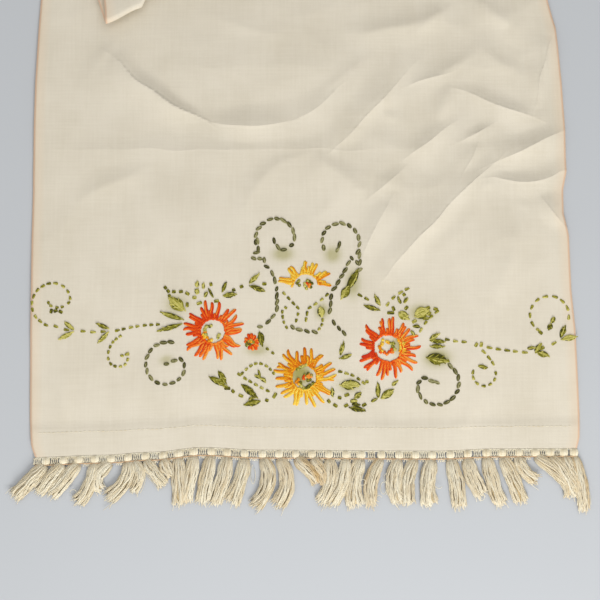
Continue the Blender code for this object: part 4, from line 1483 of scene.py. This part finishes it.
class RUNNER_OT_heads(bpy.types.Operator):
    """Work the heads of both trims: cords, bundles, zigzag threads and picots"""

    bl_idname = "table_runner.work_heads"
    bl_label = "Work the trims' heads"

    # Cords: height, swing of the plies and length of a turn, share of the cord radius, shade
    TOP_CORD = (0.00130, 0.00020, 0.0028, 0.72, 0.85)
    PINCH_CORD = (0.00150, 0.00022, 0.0024, 0.75, 0.60)
    TOP_CORD_DEPTH = SEWING_GAP + 0.00045
    # Threads down the head: start below the hem, and how much shorter than the pinch is deep
    BUNDLE_ENDS = (0.0004, 0.0010)
    ZIGZAG_ENDS = (0.0006, 0.0014)
    POST_ENDS = (0.0005, 0.0012)
    # A tip that spreads no wider, in millimetres, is a loose tuft's, which has no bundle
    LOOSE_TUFT = 3.0
    # Bundles no further apart than this have no lace between them
    NARROWEST_LACE = 0.008
    BUNDLE_YARNS = 9
    BUNDLE_FOOT = 0.0008
    BUNDLE_DOME = 0.0013
    LACE_HEIGHT = 0.0011
    ZIGZAG_HALF = 0.0026
    ZIGZAG_TURNS = ((-1.0, 0.0), (-0.5, 1.0), (0.0, 0.0), (0.5, 1.0), (1.0, 0.0))
    POST_LANES = (-0.78, 0.78)
    PICOT_OFFSETS = (-0.0013, 0.0004, 0.0016)
    PICOT_DEPTH = 0.0016

    def execute(self, context):
        sizes = context.scene.runner_trim
        faded = yarn_material("pinch cord", context.scene.runner_colours.pinch, 1.6)
        for trim in TRIMS:
            rng = np.random.default_rng(len(trim.tassels))
            head = ThreadMesh(6)
            self.cord(head, trim, sizes, self.TOP_CORD_DEPTH, *self.TOP_CORD)
            roots = [tassel.root * MM for tassel in trim.tassels if tassel.spread > self.LOOSE_TUFT]
            for root in roots:
                self.bundle(head, trim, sizes, root, rng)
            for middle in self.gaps(roots):
                self.zigzag(head, trim, sizes, middle, rng)
                self.picots(head, trim, sizes, middle, rng)
            head.build("trim_head_" + trim.end, cream_yarn(), "fringe")
            pinch = ThreadMesh(6)
            self.cord(pinch, trim, sizes, sizes.pinch, *self.PINCH_CORD)
            pinch.build("pinch_cord_" + trim.end, faded, "fringe")
        return {"FINISHED"}

    def gaps(self, roots):
        """Middles of the gaps between bundles that are wide enough for lace."""
        before_first = roots[0] - (roots[1] - roots[0]) / 2
        gaps = [before_first] if before_first > HEAD_LEFT else []
        return gaps + [(a + b) / 2 for a, b in zip(roots, roots[1:]) if b - a > self.NARROWEST_LACE]

    def down(self, trim, sizes, x, share, ends):
        """Places at shares of a thread that runs from the hem's edge down to the pinch."""
        return trim.edge(x) - SEWING_GAP - ends[0] - share * (sizes.pinch - ends[1])

    def cord(self, threads, trim, sizes, depth, height, swing, turn, thickness, shade):
        """Two plies of cord twisted along a line at a depth from the hem's edge."""
        radius = sizes.cord_radius * thickness
        x = np.arange(HEAD_LEFT, HEAD_RIGHT, 0.0006)
        for ply in (0.0, math.pi):
            phase = x * math.tau / turn + ply
            y = trim.edge(x) - depth + swing * np.cos(phase)
            trim.lay(threads, x, y, height + swing * np.sin(phase), radius, radius, shade)

    def bundle(self, threads, trim, sizes, middle, rng):
        """Bundle of yarns over one tassel, domed and drawn in at both ends."""
        count = self.BUNDLE_YARNS
        share = np.linspace(0.0, 1.0, 7)
        lane = np.linspace(-1.0, 1.0, count)[:, None]
        half = sizes.block_width / 2 - sizes.block_yarn
        fullness = 0.78 + 0.22 * np.sin(math.pi * share)
        x = middle + lane * half * fullness + rng.normal(0.0, 0.00006, (count, 1))
        y = self.down(trim, sizes, x, share, self.BUNDLE_ENDS)
        dome = np.sqrt(np.clip(1.0 - 0.75 * lane**2, 0.0, 1.0))
        arch = np.sin(math.pi * np.clip(share, 0.06, 0.94)) ** 0.6
        z = self.BUNDLE_FOOT + self.BUNDLE_DOME * arch * dome
        shades = rng.uniform(0.45, 0.85, count)
        trim.lay(threads, x, y, z, sizes.block_yarn * 0.9, sizes.block_yarn, shades)

    def zigzag(self, threads, trim, sizes, middle, rng):
        """Crossed zigzag threads between two bundles, with a post at each side."""
        radius = sizes.lace_radius
        share = np.linspace(-1.0, 1.0, 17)
        turns, heights = np.array(self.ZIGZAG_TURNS).T
        x = middle + share * self.ZIGZAG_HALF
        for flip in (0.0, 1.0):
            level = smooth_step(np.interp(share, turns, np.abs(heights - flip)))
            y = self.down(trim, sizes, x, level, self.ZIGZAG_ENDS)
            z = 0.0010 + 0.0005 * flip + rng.normal(0.0, 0.00004, len(share))
            trim.lay(threads, x, y, z, radius, radius, rng.uniform(0.6, 0.9))
        share = np.linspace(0.0, 1.0, 5)
        radius = sizes.lace_radius * 1.1
        for lane in self.POST_LANES:
            x = middle + lane * self.ZIGZAG_HALF
            y = self.down(trim, sizes, x, share, self.POST_ENDS)
            trim.lay(threads, x, y, self.LACE_HEIGHT, radius, radius, rng.uniform(0.5, 0.8))

    def picots(self, threads, trim, sizes, middle, rng):
        """Small loops that hang from the pinch cord between two tassels."""
        angle = np.linspace(math.radians(-160), math.radians(-380), 9) + math.pi
        for offset in self.PICOT_OFFSETS:
            size = rng.uniform(0.0009, 0.0013)
            x = middle + offset + size * 0.8 * np.cos(angle)
            y = trim.edge(x) - sizes.pinch - self.PICOT_DEPTH - size * 1.1 * np.sin(angle)
            z = self.LACE_HEIGHT + 0.0003 * np.sin(angle)
            shade = rng.uniform(0.7, 1.0)
            trim.lay(threads, x, y, z, sizes.cord_radius * 0.95, sizes.cord_radius, shade)


class RUNNER_OT_tassels(bpy.types.Operator):
    """Comb out the yarns of every tassel at both ends"""

    bl_idname = "table_runner.comb_tassels"
    bl_label = "Comb the tassels"

    RINGS = 14
    # Clumps of yarns sway together and each yarn sways by itself: reach, and waves in its length
    CLUMP_SWAY = (0.0013, 0.9)
    YARN_SWAY = (0.00036, 2.6)
    CLUMP_DRAW = 0.16
    CLUMP_BULGE = 0.22
    FRAY = 0.00095
    FRAY_START = 0.82
    # Tone of a tassel's yarns, and the painted shadow that darkens the yarns towards its sides
    MIDDLE_SHADE = 0.80
    SIDE_SHADOW = 0.28
    # Dark core under the yarns: share of the tassel's width and height, and its tone, which is painted shade
    # between the yarns
    CORE_WIDTH = 0.46
    CORE_HEIGHT = 0.34
    CORE_PAINTED_SHADE = 0.12
    CURL_RADIUS = 0.00020
    CURL_SHADE = 0.95
    STRAY_RADIUS = 0.00017

    def execute(self, context):
        sizes = context.scene.runner_trim
        # yarns in each tassel, share of their own thickness, and curls
        looks = {"near": (sizes.yarns, 1.0, LOOSE_CURLS), "far": (sizes.far_yarns, 1.35, ())}
        for trim in TRIMS:
            rng = np.random.default_rng(77 + len(trim.tassels))
            yarns, thickness, curls = looks[trim.end]
            threads = ThreadMesh(4)
            for tassel in trim.tassels:
                self.yarns(threads, trim, sizes, tassel, yarns, thickness, rng)
                self.core(threads, trim, sizes, tassel)
                self.strays(threads, trim, sizes, tassel, rng)
            for curl in curls:
                self.curl(threads, trim, *curl)
            bundle = threads.build("tassels_" + trim.end, cream_yarn(), "fringe")
            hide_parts("fringe_" + trim.end)
        return {"FINISHED"}

    def path(self, trim, sizes, tassel, share, offset=0.0, bow=0.0):
        """Places at shares of a tassel's reach, at an offset beside its middle line."""
        root, tip, sway, reach = (value * MM for value in tassel[:4])
        depth = reach + HEAD_DEPTH - sizes.pinch
        x = root + tip * share + 4.0 * (sway + bow) * share * (1.0 - share)
        y = trim.edge(np.full(np.shape(share), root)) - sizes.pinch - share * depth
        slope = tip + 4.0 * (sway + bow) * (1.0 - 2.0 * share)
        travel = unit(np.stack((slope, -depth * np.ones_like(slope)), axis=-1))
        return x - travel[..., 1] * offset, y + travel[..., 0] * offset

    def yarns(self, threads, trim, sizes, tassel, yarns, thickness, rng):
        """Yarns of one tassel, which swell from the pinch and fray at the tip."""
        clumps = max(3, round(yarns / YARNS_IN_CLUMP))
        lane = np.linspace(-1.0, 1.0, yarns) + rng.normal(0.0, 0.03, yarns)
        ends = (1.0 - 0.09 * lane**2 + rng.normal(0.0, 0.035, yarns))[:, None]
        share = np.linspace(0.0, 1.0, self.RINGS) * ends
        held = np.clip(share, 0.0, 1.0)
        loose = smooth_step(held / 0.25)
        clump = np.clip(((lane + 1.0) / 2.0 * clumps).astype(int), 0, clumps - 1)
        centre = ((clump + 0.5) / clumps * 2.0 - 1.0)[:, None]
        within = (lane[:, None] - centre) * clumps
        lane = centre + within / clumps * (1.0 - self.CLUMP_DRAW * loose)
        phases = rng.uniform(0.0, math.tau, clumps)[clump][:, None]
        swings = rng.uniform(0.3, 1.0, clumps)[clump][:, None]
        own_phase = rng.uniform(0.0, math.tau, (yarns, 1))
        reach, waves = self.CLUMP_SWAY
        sway = reach * swings * np.sin(math.tau * waves * share + phases) * held
        reach, waves = self.YARN_SWAY
        sway = sway + reach * np.sin(math.tau * waves * share + own_phase) * loose
        past = np.clip((share - self.FRAY_START) / (1.0 - self.FRAY_START), 0.0, 1.2)
        fray = rng.normal(0.0, self.FRAY, (yarns, 1)) * past**1.5
        offset = lane * self.width(tassel, held) / 2 + sway + fray
        x, y = self.path(trim, sizes, tassel, share, offset)
        radius = table_value(held, YARN_RADII) * thickness
        dome = np.sqrt(np.clip(1.0 - lane**2 * 0.92, 0.02, 1.0))
        bulge = 1.0 + self.CLUMP_BULGE * (1.0 - within**2) * loose
        layer = rng.uniform(0.62, 1.0, (yarns, 1))
        z = radius + layer * table_value(held, TASSEL_HEIGHTS) * dome * bulge
        tints = self.MIDDLE_SHADE + rng.normal(0.0, 0.10, clumps)[clump] + rng.normal(0.0, 0.14, yarns)
        # Painted shadow: yarns darker towards the tassel's sides
        shades = tints[:, None] - self.SIDE_SHADOW * np.abs(lane) ** 3
        patch = 0.5 + 0.5 * np.sin(3.1 * share + 2.0 * lane + phases)
        stains = tassel.stain * (0.15 + 0.85 * patch) * rng.uniform(0.6, 1.0, (yarns, 1))
        shades, stains = np.clip(shades, 0.0, 1.0), np.clip(stains, 0.0, 0.9)
        trim.lay(threads, x, y, z, radius, radius, shades, stains)

    def width(self, tassel, held):
        """Width of a tassel at shares of its reach."""
        body = table_value(held, TASSEL_BODY) * (0.72 + 0.034 * tassel.spread)
        return body + ((tassel.spread + 1.0) * MM - body) * fade(held, 0.55, 1.0)

    def core(self, threads, trim, sizes, tassel):
        """Flat inner bundle that closes the gaps between the yarns of a tassel, painted dark as the shade
        between them.
        """
        share = np.linspace(0.02, 0.94, self.RINGS)
        x, y = self.path(trim, sizes, tassel, share)
        height = self.CORE_HEIGHT * table_value(share, TASSEL_HEIGHTS)
        width = self.CORE_WIDTH * self.width(tassel, share)
        trim.lay(threads, x, y, height + 0.0001, width, height, self.CORE_PAINTED_SHADE, tassel.stain)

    def curl(self, threads, trim, across, along, radius, first, turn, stretch, height):
        """Loose yarn that lies in a drawn-out curl."""
        share = np.linspace(0.0, 1.0, 30)
        angle = np.radians(first + turn * share)
        reach = radius * (1.0 - 0.35 * share) * MM
        x = across * MM + reach * np.cos(angle)
        y = trim.edge(x) + along * MM + reach * stretch * np.sin(angle)
        z = height * MM + 0.0003 * np.sin(2.0 * angle)
        trim.lay(threads, x, y, z, self.CURL_RADIUS, self.CURL_RADIUS, self.CURL_SHADE)

    def strays(self, threads, trim, sizes, tassel, rng):
        """Loose yarns that leave a tassel."""
        for _ in range(sizes.strays):
            share = np.linspace(0.05, rng.uniform(0.85, 1.12), 9)
            bow = rng.normal(0.0, 0.0016)
            lane = rng.choice((-1.0, 1.0)) * rng.uniform(0.5, 0.8)
            curl = rng.uniform(0.0003, 0.0013) * np.sin(math.tau * 1.3 * share + rng.uniform(0.0, math.tau))
            spread = 0.0020 + 0.0045 * share + rng.normal(0.0, 0.0007) * share**2
            x, y = self.path(trim, sizes, tassel, share, lane * spread + curl * share, bow)
            z = 0.0004 + 0.0012 * np.abs(np.sin(2.2 * share + rng.uniform(0.0, 3.0)))
            trim.lay(threads, x, y, z, self.STRAY_RADIUS, self.STRAY_RADIUS, rng.uniform(0.6, 1.0))


def build_both_ends(label, plan, thread):
    """Objects of the planned stitches, at the near end and turned to the far end."""
    material, slot = thread_material(thread)
    for far in (False, True):
        plan.build(f"{label}_{'far' if far else 'near'}", far, material, slot)


class RUNNER_OT_daisies(bpy.types.Operator):
    """Stitch the daisies, the bud and their knots"""

    bl_idname = "table_runner.stitch_daisies"
    bl_label = "Stitch the daisies"

    # A petal's two strands lie to its left and right, by these shares at its foot and its tip
    PETAL_LANES = (-0.85, 0.85)
    FOOT_LANE = 1.1
    TIP_LANE = 0.45
    BUD_LEAN = 0.30
    KNOT_LOOP = 0.00062
    KNOT_STITCH = 0.00056

    def execute(self, context):
        sizes = context.scene.runner_stitches
        rng = np.random.default_rng(404)
        plans = {thread: StitchPlan() for thread in ("orange", "gold", "green")}
        for *row, thread in DAISIES:
            self.daisy(plans[thread], sizes, rng, *row)
        for row in BUDS:
            self.bud(plans["orange"], sizes, rng, *row)
        for *row, thread in KNOT_RINGS:
            self.knot_ring(plans[thread], rng, *row)
        build_both_ends("orange_flowers", plans["orange"], "orange")
        build_both_ends("gold_flowers", plans["gold"], "gold")
        build_both_ends("flower_knots", plans["green"], "green")
        return {"FINISHED"}

    def daisy(self, plan, sizes, rng, across, along, hole, reach, petals, first, turn, deep):
        """Ring of long and short bars around an open middle."""
        middle = np.array((across, along)) * MM
        hole, reach = hole * MM, reach * MM
        closed = abs(turn) >= 360
        step = turn / (petals if closed else petals - 1)
        for index in range(petals):
            angle = math.radians(first + step * index + rng.normal(0.0, 1.6))
            shade = 0.50 - 0.28 * math.cos(angle - math.radians(deep)) + rng.normal(0.0, 0.12)
            tip = reach * rng.uniform(0.84, 1.03)
            start = hole * rng.uniform(0.92, 1.10)
            lean = math.radians(rng.normal(0.0, 6.0))
            bow = rng.normal(0.0, 0.0009)
            sway = rng.normal(0.0, 0.0004)
            self.bar(plan, sizes, middle, angle, start, lean, tip, bow, shade, sway)
            if closed or index < petals - 1:
                between = angle + math.radians(step / 2)
                short = hole + (reach - hole) * rng.uniform(0.30, 0.52)
                self.bar(plan, sizes, middle, between, start, lean, short, bow, shade - 0.1)
            self.rim(plan, sizes, middle, angle, math.radians(step), hole, shade, rng)

    def bar(self, plan, sizes, middle, angle, start, lean, tip, bow, shade, sway=0.0):
        """One petal: two strands side by side, from the rim outwards."""
        inner = middle + start * heading(angle)
        outer = middle + tip * heading(angle + lean)
        side = sizes.petal_strand * left_of(heading(angle))
        for lane in self.PETAL_LANES:
            foot = inner + self.FOOT_LANE * lane * side
            points = plan.path(foot, outer + self.TIP_LANE * lane * side, bow, sway)
            plan.strand(points, sizes.petal_strand, shade + 0.30 * lane, 1.15, 0.34)

    def rim(self, plan, sizes, middle, angle, step, hole, shade, rng):
        """Short stitch along the rim, from one petal's foot to the next."""
        start = middle + hole * rng.uniform(0.98, 1.10) * heading(angle - 0.08)
        end = middle + hole * rng.uniform(1.02, 1.18) * heading(angle + step * 1.1)
        plan.strand(plan.path(start, end, -0.0002), sizes.petal_strand * 1.05, shade - 0.05, 1.5)

    def bud(self, plan, sizes, rng, across, along, inner, outer, first, turn, bars):
        """Bud of short leaning bars close together, open on one side."""
        middle = np.array((across, along)) * MM
        for index in range(bars):
            angle = math.radians(first + turn * index / (bars - 1)) + rng.normal(0.0, 0.06)
            reach = outer * MM * (0.84 + 0.24 * abs(math.sin(angle))) * rng.uniform(0.92, 1.05)
            shade = 0.30 + 0.35 * (index % 2) + rng.normal(0.0, 0.10)
            self.bar(plan, sizes, middle, angle, inner * MM, self.BUD_LEAN, reach, 0.0004, shade)

    def knot_ring(self, plan, rng, across, along, radius, first, turn, count):
        """Knots side by side along an arc."""
        for index in range(count):
            angle = math.radians(first + turn * index / max(1, count - 1)) + rng.normal(0.0, 0.10)
            reach = radius * rng.uniform(0.70, 1.15)
            middle = (np.array((across, along)) + reach * heading(angle)) * MM
            self.knot(plan, middle, rng.uniform(0.0010, 0.0014), rng.uniform(0.0, 0.9), rng)

    def knot(self, plan, middle, radius, shade, rng):
        """Small knot: a loop of thread with a stitch over it."""
        begin = rng.uniform(0.0, math.tau)
        angles = begin + 1.75 * math.pi * plan.SHARES
        loop = middle + radius * 0.62 * np.stack((np.cos(angles), np.sin(angles)), axis=-1)
        plan.strand(loop, self.KNOT_LOOP, shade, 1.5, 0.9)
        half = radius * heading(begin)
        plan.strand(plan.path(middle - half, middle + half), self.KNOT_STITCH, shade + 0.25, 2.2)


class RUNNER_OT_scrolls(bpy.types.Operator):
    """Stitch the chain-stitched scrolls and the running vines"""

    bl_idname = "table_runner.stitch_scrolls"
    bl_label = "Stitch the scrolls and vines"

    def execute(self, context):
        sizes = context.scene.runner_stitches
        rng = np.random.default_rng(505)
        chains, vines = StitchPlan(), StitchPlan()
        for *row, stitch in CURLS:
            self.follow(chains, vines, sizes, self.curl_points(*row), stitch, rng)
        for *row, stitch in LINES:
            self.follow(chains, vines, sizes, self.line_points(*row), stitch, rng)
        build_both_ends("scrolls", chains, "chain")
        build_both_ends("vines", vines, "green")
        return {"FINISHED"}

    def curl_points(self, across, along, first_radius, last_radius, first, turn, easing):
        """Close points along a spiral."""
        share = np.linspace(0.0, 1.0, 200)
        radius = first_radius + (last_radius - first_radius) * share**easing
        angle = np.radians(first + turn * share)
        return np.stack((across + radius * np.cos(angle), along + radius * np.sin(angle)), axis=-1) * MM

    def line_points(self, x0, y0, x1, y1, bow):
        """Close points along a bowed line."""
        start = np.array((x0, y0)) * MM
        run = np.array((x1, y1)) * MM - start
        share = np.linspace(0.0, 1.0, 60)[:, None]
        return start + run * share + left_of(run) * 4.0 * bow * MM * share * (1.0 - share)

    def follow(self, chains, vines, sizes, points, stitch, rng):
        """Stitches of one kind, end to end along a line of points."""
        steps = np.hypot(*np.diff(points, axis=0).T)
        run = np.concatenate(((0.0,), np.cumsum(steps)))
        pitch, reach = {
            "chain": (sizes.chain_length, sizes.chain_length * 0.94),
            "dash": (sizes.dash_pitch, sizes.dash_length),
            "short": (sizes.short_pitch, sizes.short_length),
            "fine": (sizes.fine_pitch, sizes.fine_length),
        }[stitch]
        count = max(1, round(run[-1] / pitch))
        pitch = run[-1] / count
        for index in range(count):
            begin = index * pitch + (pitch - reach) / 2 + rng.normal(0.0, 0.00015)
            ends = begin, begin + reach * rng.uniform(0.84, 1.08)
            start, end = (np.array([np.interp(at, run, points[:, axis]) for axis in (0, 1)]) for at in ends)
            wander = rng.normal(0.0, 0.00012, 2)
            if stitch == "chain":
                self.link(chains, sizes, start + 2.5 * wander, end - 1.5 * wander, rng)
            else:
                self.dash(vines, sizes, start + wander, end + wander, rng)

    def link(self, plan, sizes, start, end, rng):
        """One chain link: two strands that bow apart and meet at both ends, over a third."""
        shade = rng.uniform(0.05, 0.75)
        half = sizes.chain_half * rng.uniform(0.75, 1.15)
        slant = left_of(end - start) * sizes.chain_slant * rng.uniform(0.4, 1.3)
        start, end = start + slant, end - slant
        for side in (-1.0, 1.0):
            plan.strand(plan.path(start, end, side * half), sizes.chain_strand, shade + 0.08 * side)
        plan.strand(plan.path(start, end), sizes.chain_strand * 0.9, shade + 0.45, 0.45)

    def dash(self, plan, sizes, start, end, rng):
        """One running stitch: two strands twisted round each other."""
        shade = rng.uniform(0.25, 0.80)
        for side in (-1.0, 1.0):
            left = left_of(end - start) * sizes.dash_strand * 0.52 * side
            points = plan.path(start + left, end - left * 0.4, side * 0.00010)
            plan.strand(points, sizes.dash_strand, shade + 0.12 * side, 1.1)


class RUNNER_OT_leaves(bpy.types.Operator):
    """Stitch the satin leaves and the loose dots"""

    bl_idname = "table_runner.stitch_leaves"
    bl_label = "Stitch the leaves"

    # A leaf's strands lie this many of their half widths apart, and its ribs at this pitch
    STRAND_SPACING = 1.55
    RIB_PITCH = 0.0019

    def execute(self, context):
        sizes = context.scene.runner_stitches
        rng = np.random.default_rng(606)
        plan = StitchPlan()
        for row in LEAVES:
            self.leaf(plan, sizes, rng, *row)
        for row in DOTS:
            self.dot(plan, sizes, *row)
        build_both_ends("leaves", plan, "green")
        return {"FINISHED"}

    def dot(self, plan, sizes, across, along, angle, reach, shade):
        """Loose stitch of two strands."""
        middle = np.array((across, along)) * MM
        half = heading(math.radians(angle)) * reach * MM / 2
        for lane in (-1.0, 1.0):
            shift = left_of(half) * sizes.dash_strand * 0.6 * lane
            points = plan.path(middle - half + shift, middle + half + shift)
            plan.strand(points, sizes.dash_strand, shade + 0.1 * lane, 1.1)

    def leaf(self, plan, sizes, rng, x0, y0, x1, y1, width, shade):
        """Spindle of strands side by side, drawn together at base and tip."""
        base = np.array((x0, y0)) * MM
        run = np.array((x1, y1)) * MM - base
        half = width * MM / 2
        lanes = max(3, round(width / (sizes.leaf_strand / MM * self.STRAND_SPACING)))
        for lane in np.linspace(-1.0, 1.0, lanes):
            start = base + run * (0.06 * abs(lane) + rng.uniform(-0.03, 0.12))
            end = base + run * (1.0 - 0.14 * abs(lane) + rng.normal(0.0, 0.06))
            points = plan.path(start, end, lane * (half - sizes.leaf_strand), rng.normal(0.0, 0.00008))
            tint = shade + 0.12 - 0.50 * lane**2 + rng.normal(0.0, 0.26)
            plan.strand(points, sizes.leaf_strand, tint, 1.25 + 0.5 * (1.0 - lane * lane))
        self.ribs(plan, sizes, base, run, half, shade, rng)

    def ribs(self, plan, sizes, base, run, half, shade, rng):
        """Short slanting stitches over a leaf, to its left and right by turns."""
        count = max(2, round(float(np.hypot(*run)) / self.RIB_PITCH))
        for index in range(count):
            share = (index + 0.6) / (count + 0.6)
            side = 1.0 if index % 2 else -1.0
            room = half * math.sin(math.pi * min(share + 0.12, 1.0)) * rng.uniform(0.75, 1.1)
            start = base + run * (share - 0.06)
            end = base + run * min(share + 0.16, 0.98) + left_of(run) * side * room
            tint = shade + rng.uniform(-0.1, 0.45)
            plan.strand(plan.path(start, end), sizes.leaf_strand * 0.72, tint, 2.3)


class RUNNER_OT_stage(bpy.types.Operator):
    """Set the pale floor, the lights and the camera"""

    bl_idname = "table_runner.set_stage"
    bl_label = "Set the stage"

    def execute(self, context):
        sizes = context.scene.runner_stage
        target = Vector((sizes.across + ROW_SHIFT[0], sizes.along + ROW_SHIFT[1], 0.0))
        self.floor(sizes)
        self.lights(sizes, target)
        data = bpy.data.cameras.new("camera")
        data.lens = sizes.lens
        data.sensor_width = 36.0
        data.clip_start = 0.01
        camera = link_object("camera", data)
        lean = Vector((0.0, -math.sin(sizes.tilt), math.cos(sizes.tilt)))
        camera.location = target + lean * sizes.distance
        camera.rotation_euler = (sizes.tilt, 0.0, 0.0)
        context.scene.camera = camera
        context.scene.view_settings.view_transform = "Standard"
        return {"FINISHED"}

    def floor(self, sizes):
        """Pale floor, just under the runner."""
        depth = CAD_BOUNDS[0][2] - FLOOR_GAP
        mesh = bpy.data.meshes.new("floor")
        corners = [(x * FLOOR_REACH, y * FLOOR_REACH, depth) for x, y in ((-1, -1), (1, -1), (1, 1), (-1, 1))]
        mesh.from_pydata(corners, [], [(0, 1, 2, 3)])
        material, tree, shader = new_material("pale floor", 0.80, 0.0)
        place = add_node(tree, "ShaderNodeTexCoord").outputs["Object"]
        base = mix_colours(tree, noise_node(tree, place, 3.0, 3.0), sizes.floor, darkened(sizes.floor, 0.94))
        set_socket(tree, shader.inputs["Base Color"], base)
        mesh.materials.append(material)
        link_object("floor", mesh)

    def lights(self, sizes, target):
        """Low soft light from the near end, a wide one above, and pale surroundings."""
        rows = (
            # name, power, size, place from the target
            ("key", sizes.key_power, 0.5, (0.24, -1.24, 0.60)),
            ("fill", sizes.fill_power, 1.6, (0.3, 0.2, 1.5)),
        )
        for name, power, size, offset in rows:
            data = bpy.data.lights.new(name, "AREA")
            data.energy = power
            data.size = size
            lamp = link_object(name, data)
            lamp.location = target + Vector(offset)
            lamp.rotation_euler = (target - lamp.location).to_track_quat("-Z", "Y").to_euler()
        world = bpy.data.worlds.new("surroundings")
        world.use_nodes = True
        background = world.node_tree.nodes["Background"]
        background.inputs["Color"].default_value = (1.0, 1.0, 1.0, 1.0)
        background.inputs["Strength"].default_value = sizes.sky
        bpy.context.scene.world = world


class RUNNER_PT_panel(bpy.types.Panel):
    """Sizes, colours and steps of the table runner"""

    bl_idname = "RUNNER_PT_panel"
    bl_label = "Table runner"
    bl_space_type = "VIEW_3D"
    bl_region_type = "UI"
    bl_category = "Runner"

    def draw(self, context):
        for name, group in PROPERTY_GROUPS:
            box = self.layout.box()
            box.label(text=name.split("_")[1].capitalize())
            for prop in group.__annotations__:
                box.prop(getattr(context.scene, name), prop)
        for step in STEPS:
            self.layout.operator(step.bl_idname)


STEPS = (
    RUNNER_OT_cloth,
    RUNNER_OT_hem_stitches,
    RUNNER_OT_heads,
    RUNNER_OT_tassels,
    RUNNER_OT_daisies,
    RUNNER_OT_scrolls,
    RUNNER_OT_leaves,
    RUNNER_OT_stage,
)


def register():
    """Add the sizes, the steps and the panel to Blender."""
    for name, group in PROPERTY_GROUPS:
        bpy.utils.register_class(group)
        setattr(bpy.types.Scene, name, PointerProperty(type=group))
    for step in STEPS:
        bpy.utils.register_class(step)
    bpy.utils.register_class(RUNNER_PT_panel)


def unregister():
    """Take the panel, the steps and the sizes out of Blender again."""
    bpy.utils.unregister_class(RUNNER_PT_panel)
    for step in reversed(STEPS):
        bpy.utils.unregister_class(step)
    for name, group in reversed(PROPERTY_GROUPS):
        delattr(bpy.types.Scene, name)
        bpy.utils.unregister_class(group)


def main():
    """Make every piece."""
    register()
    bpy.ops.table_runner.lay_cloth()
    bpy.ops.table_runner.stitch_hems()
    bpy.ops.table_runner.work_heads()
    bpy.ops.table_runner.comb_tassels()
    bpy.ops.table_runner.stitch_daisies()
    bpy.ops.table_runner.stitch_scrolls()
    bpy.ops.table_runner.stitch_leaves()
    bpy.ops.table_runner.set_stage()


if __name__ == "__main__":
    main()
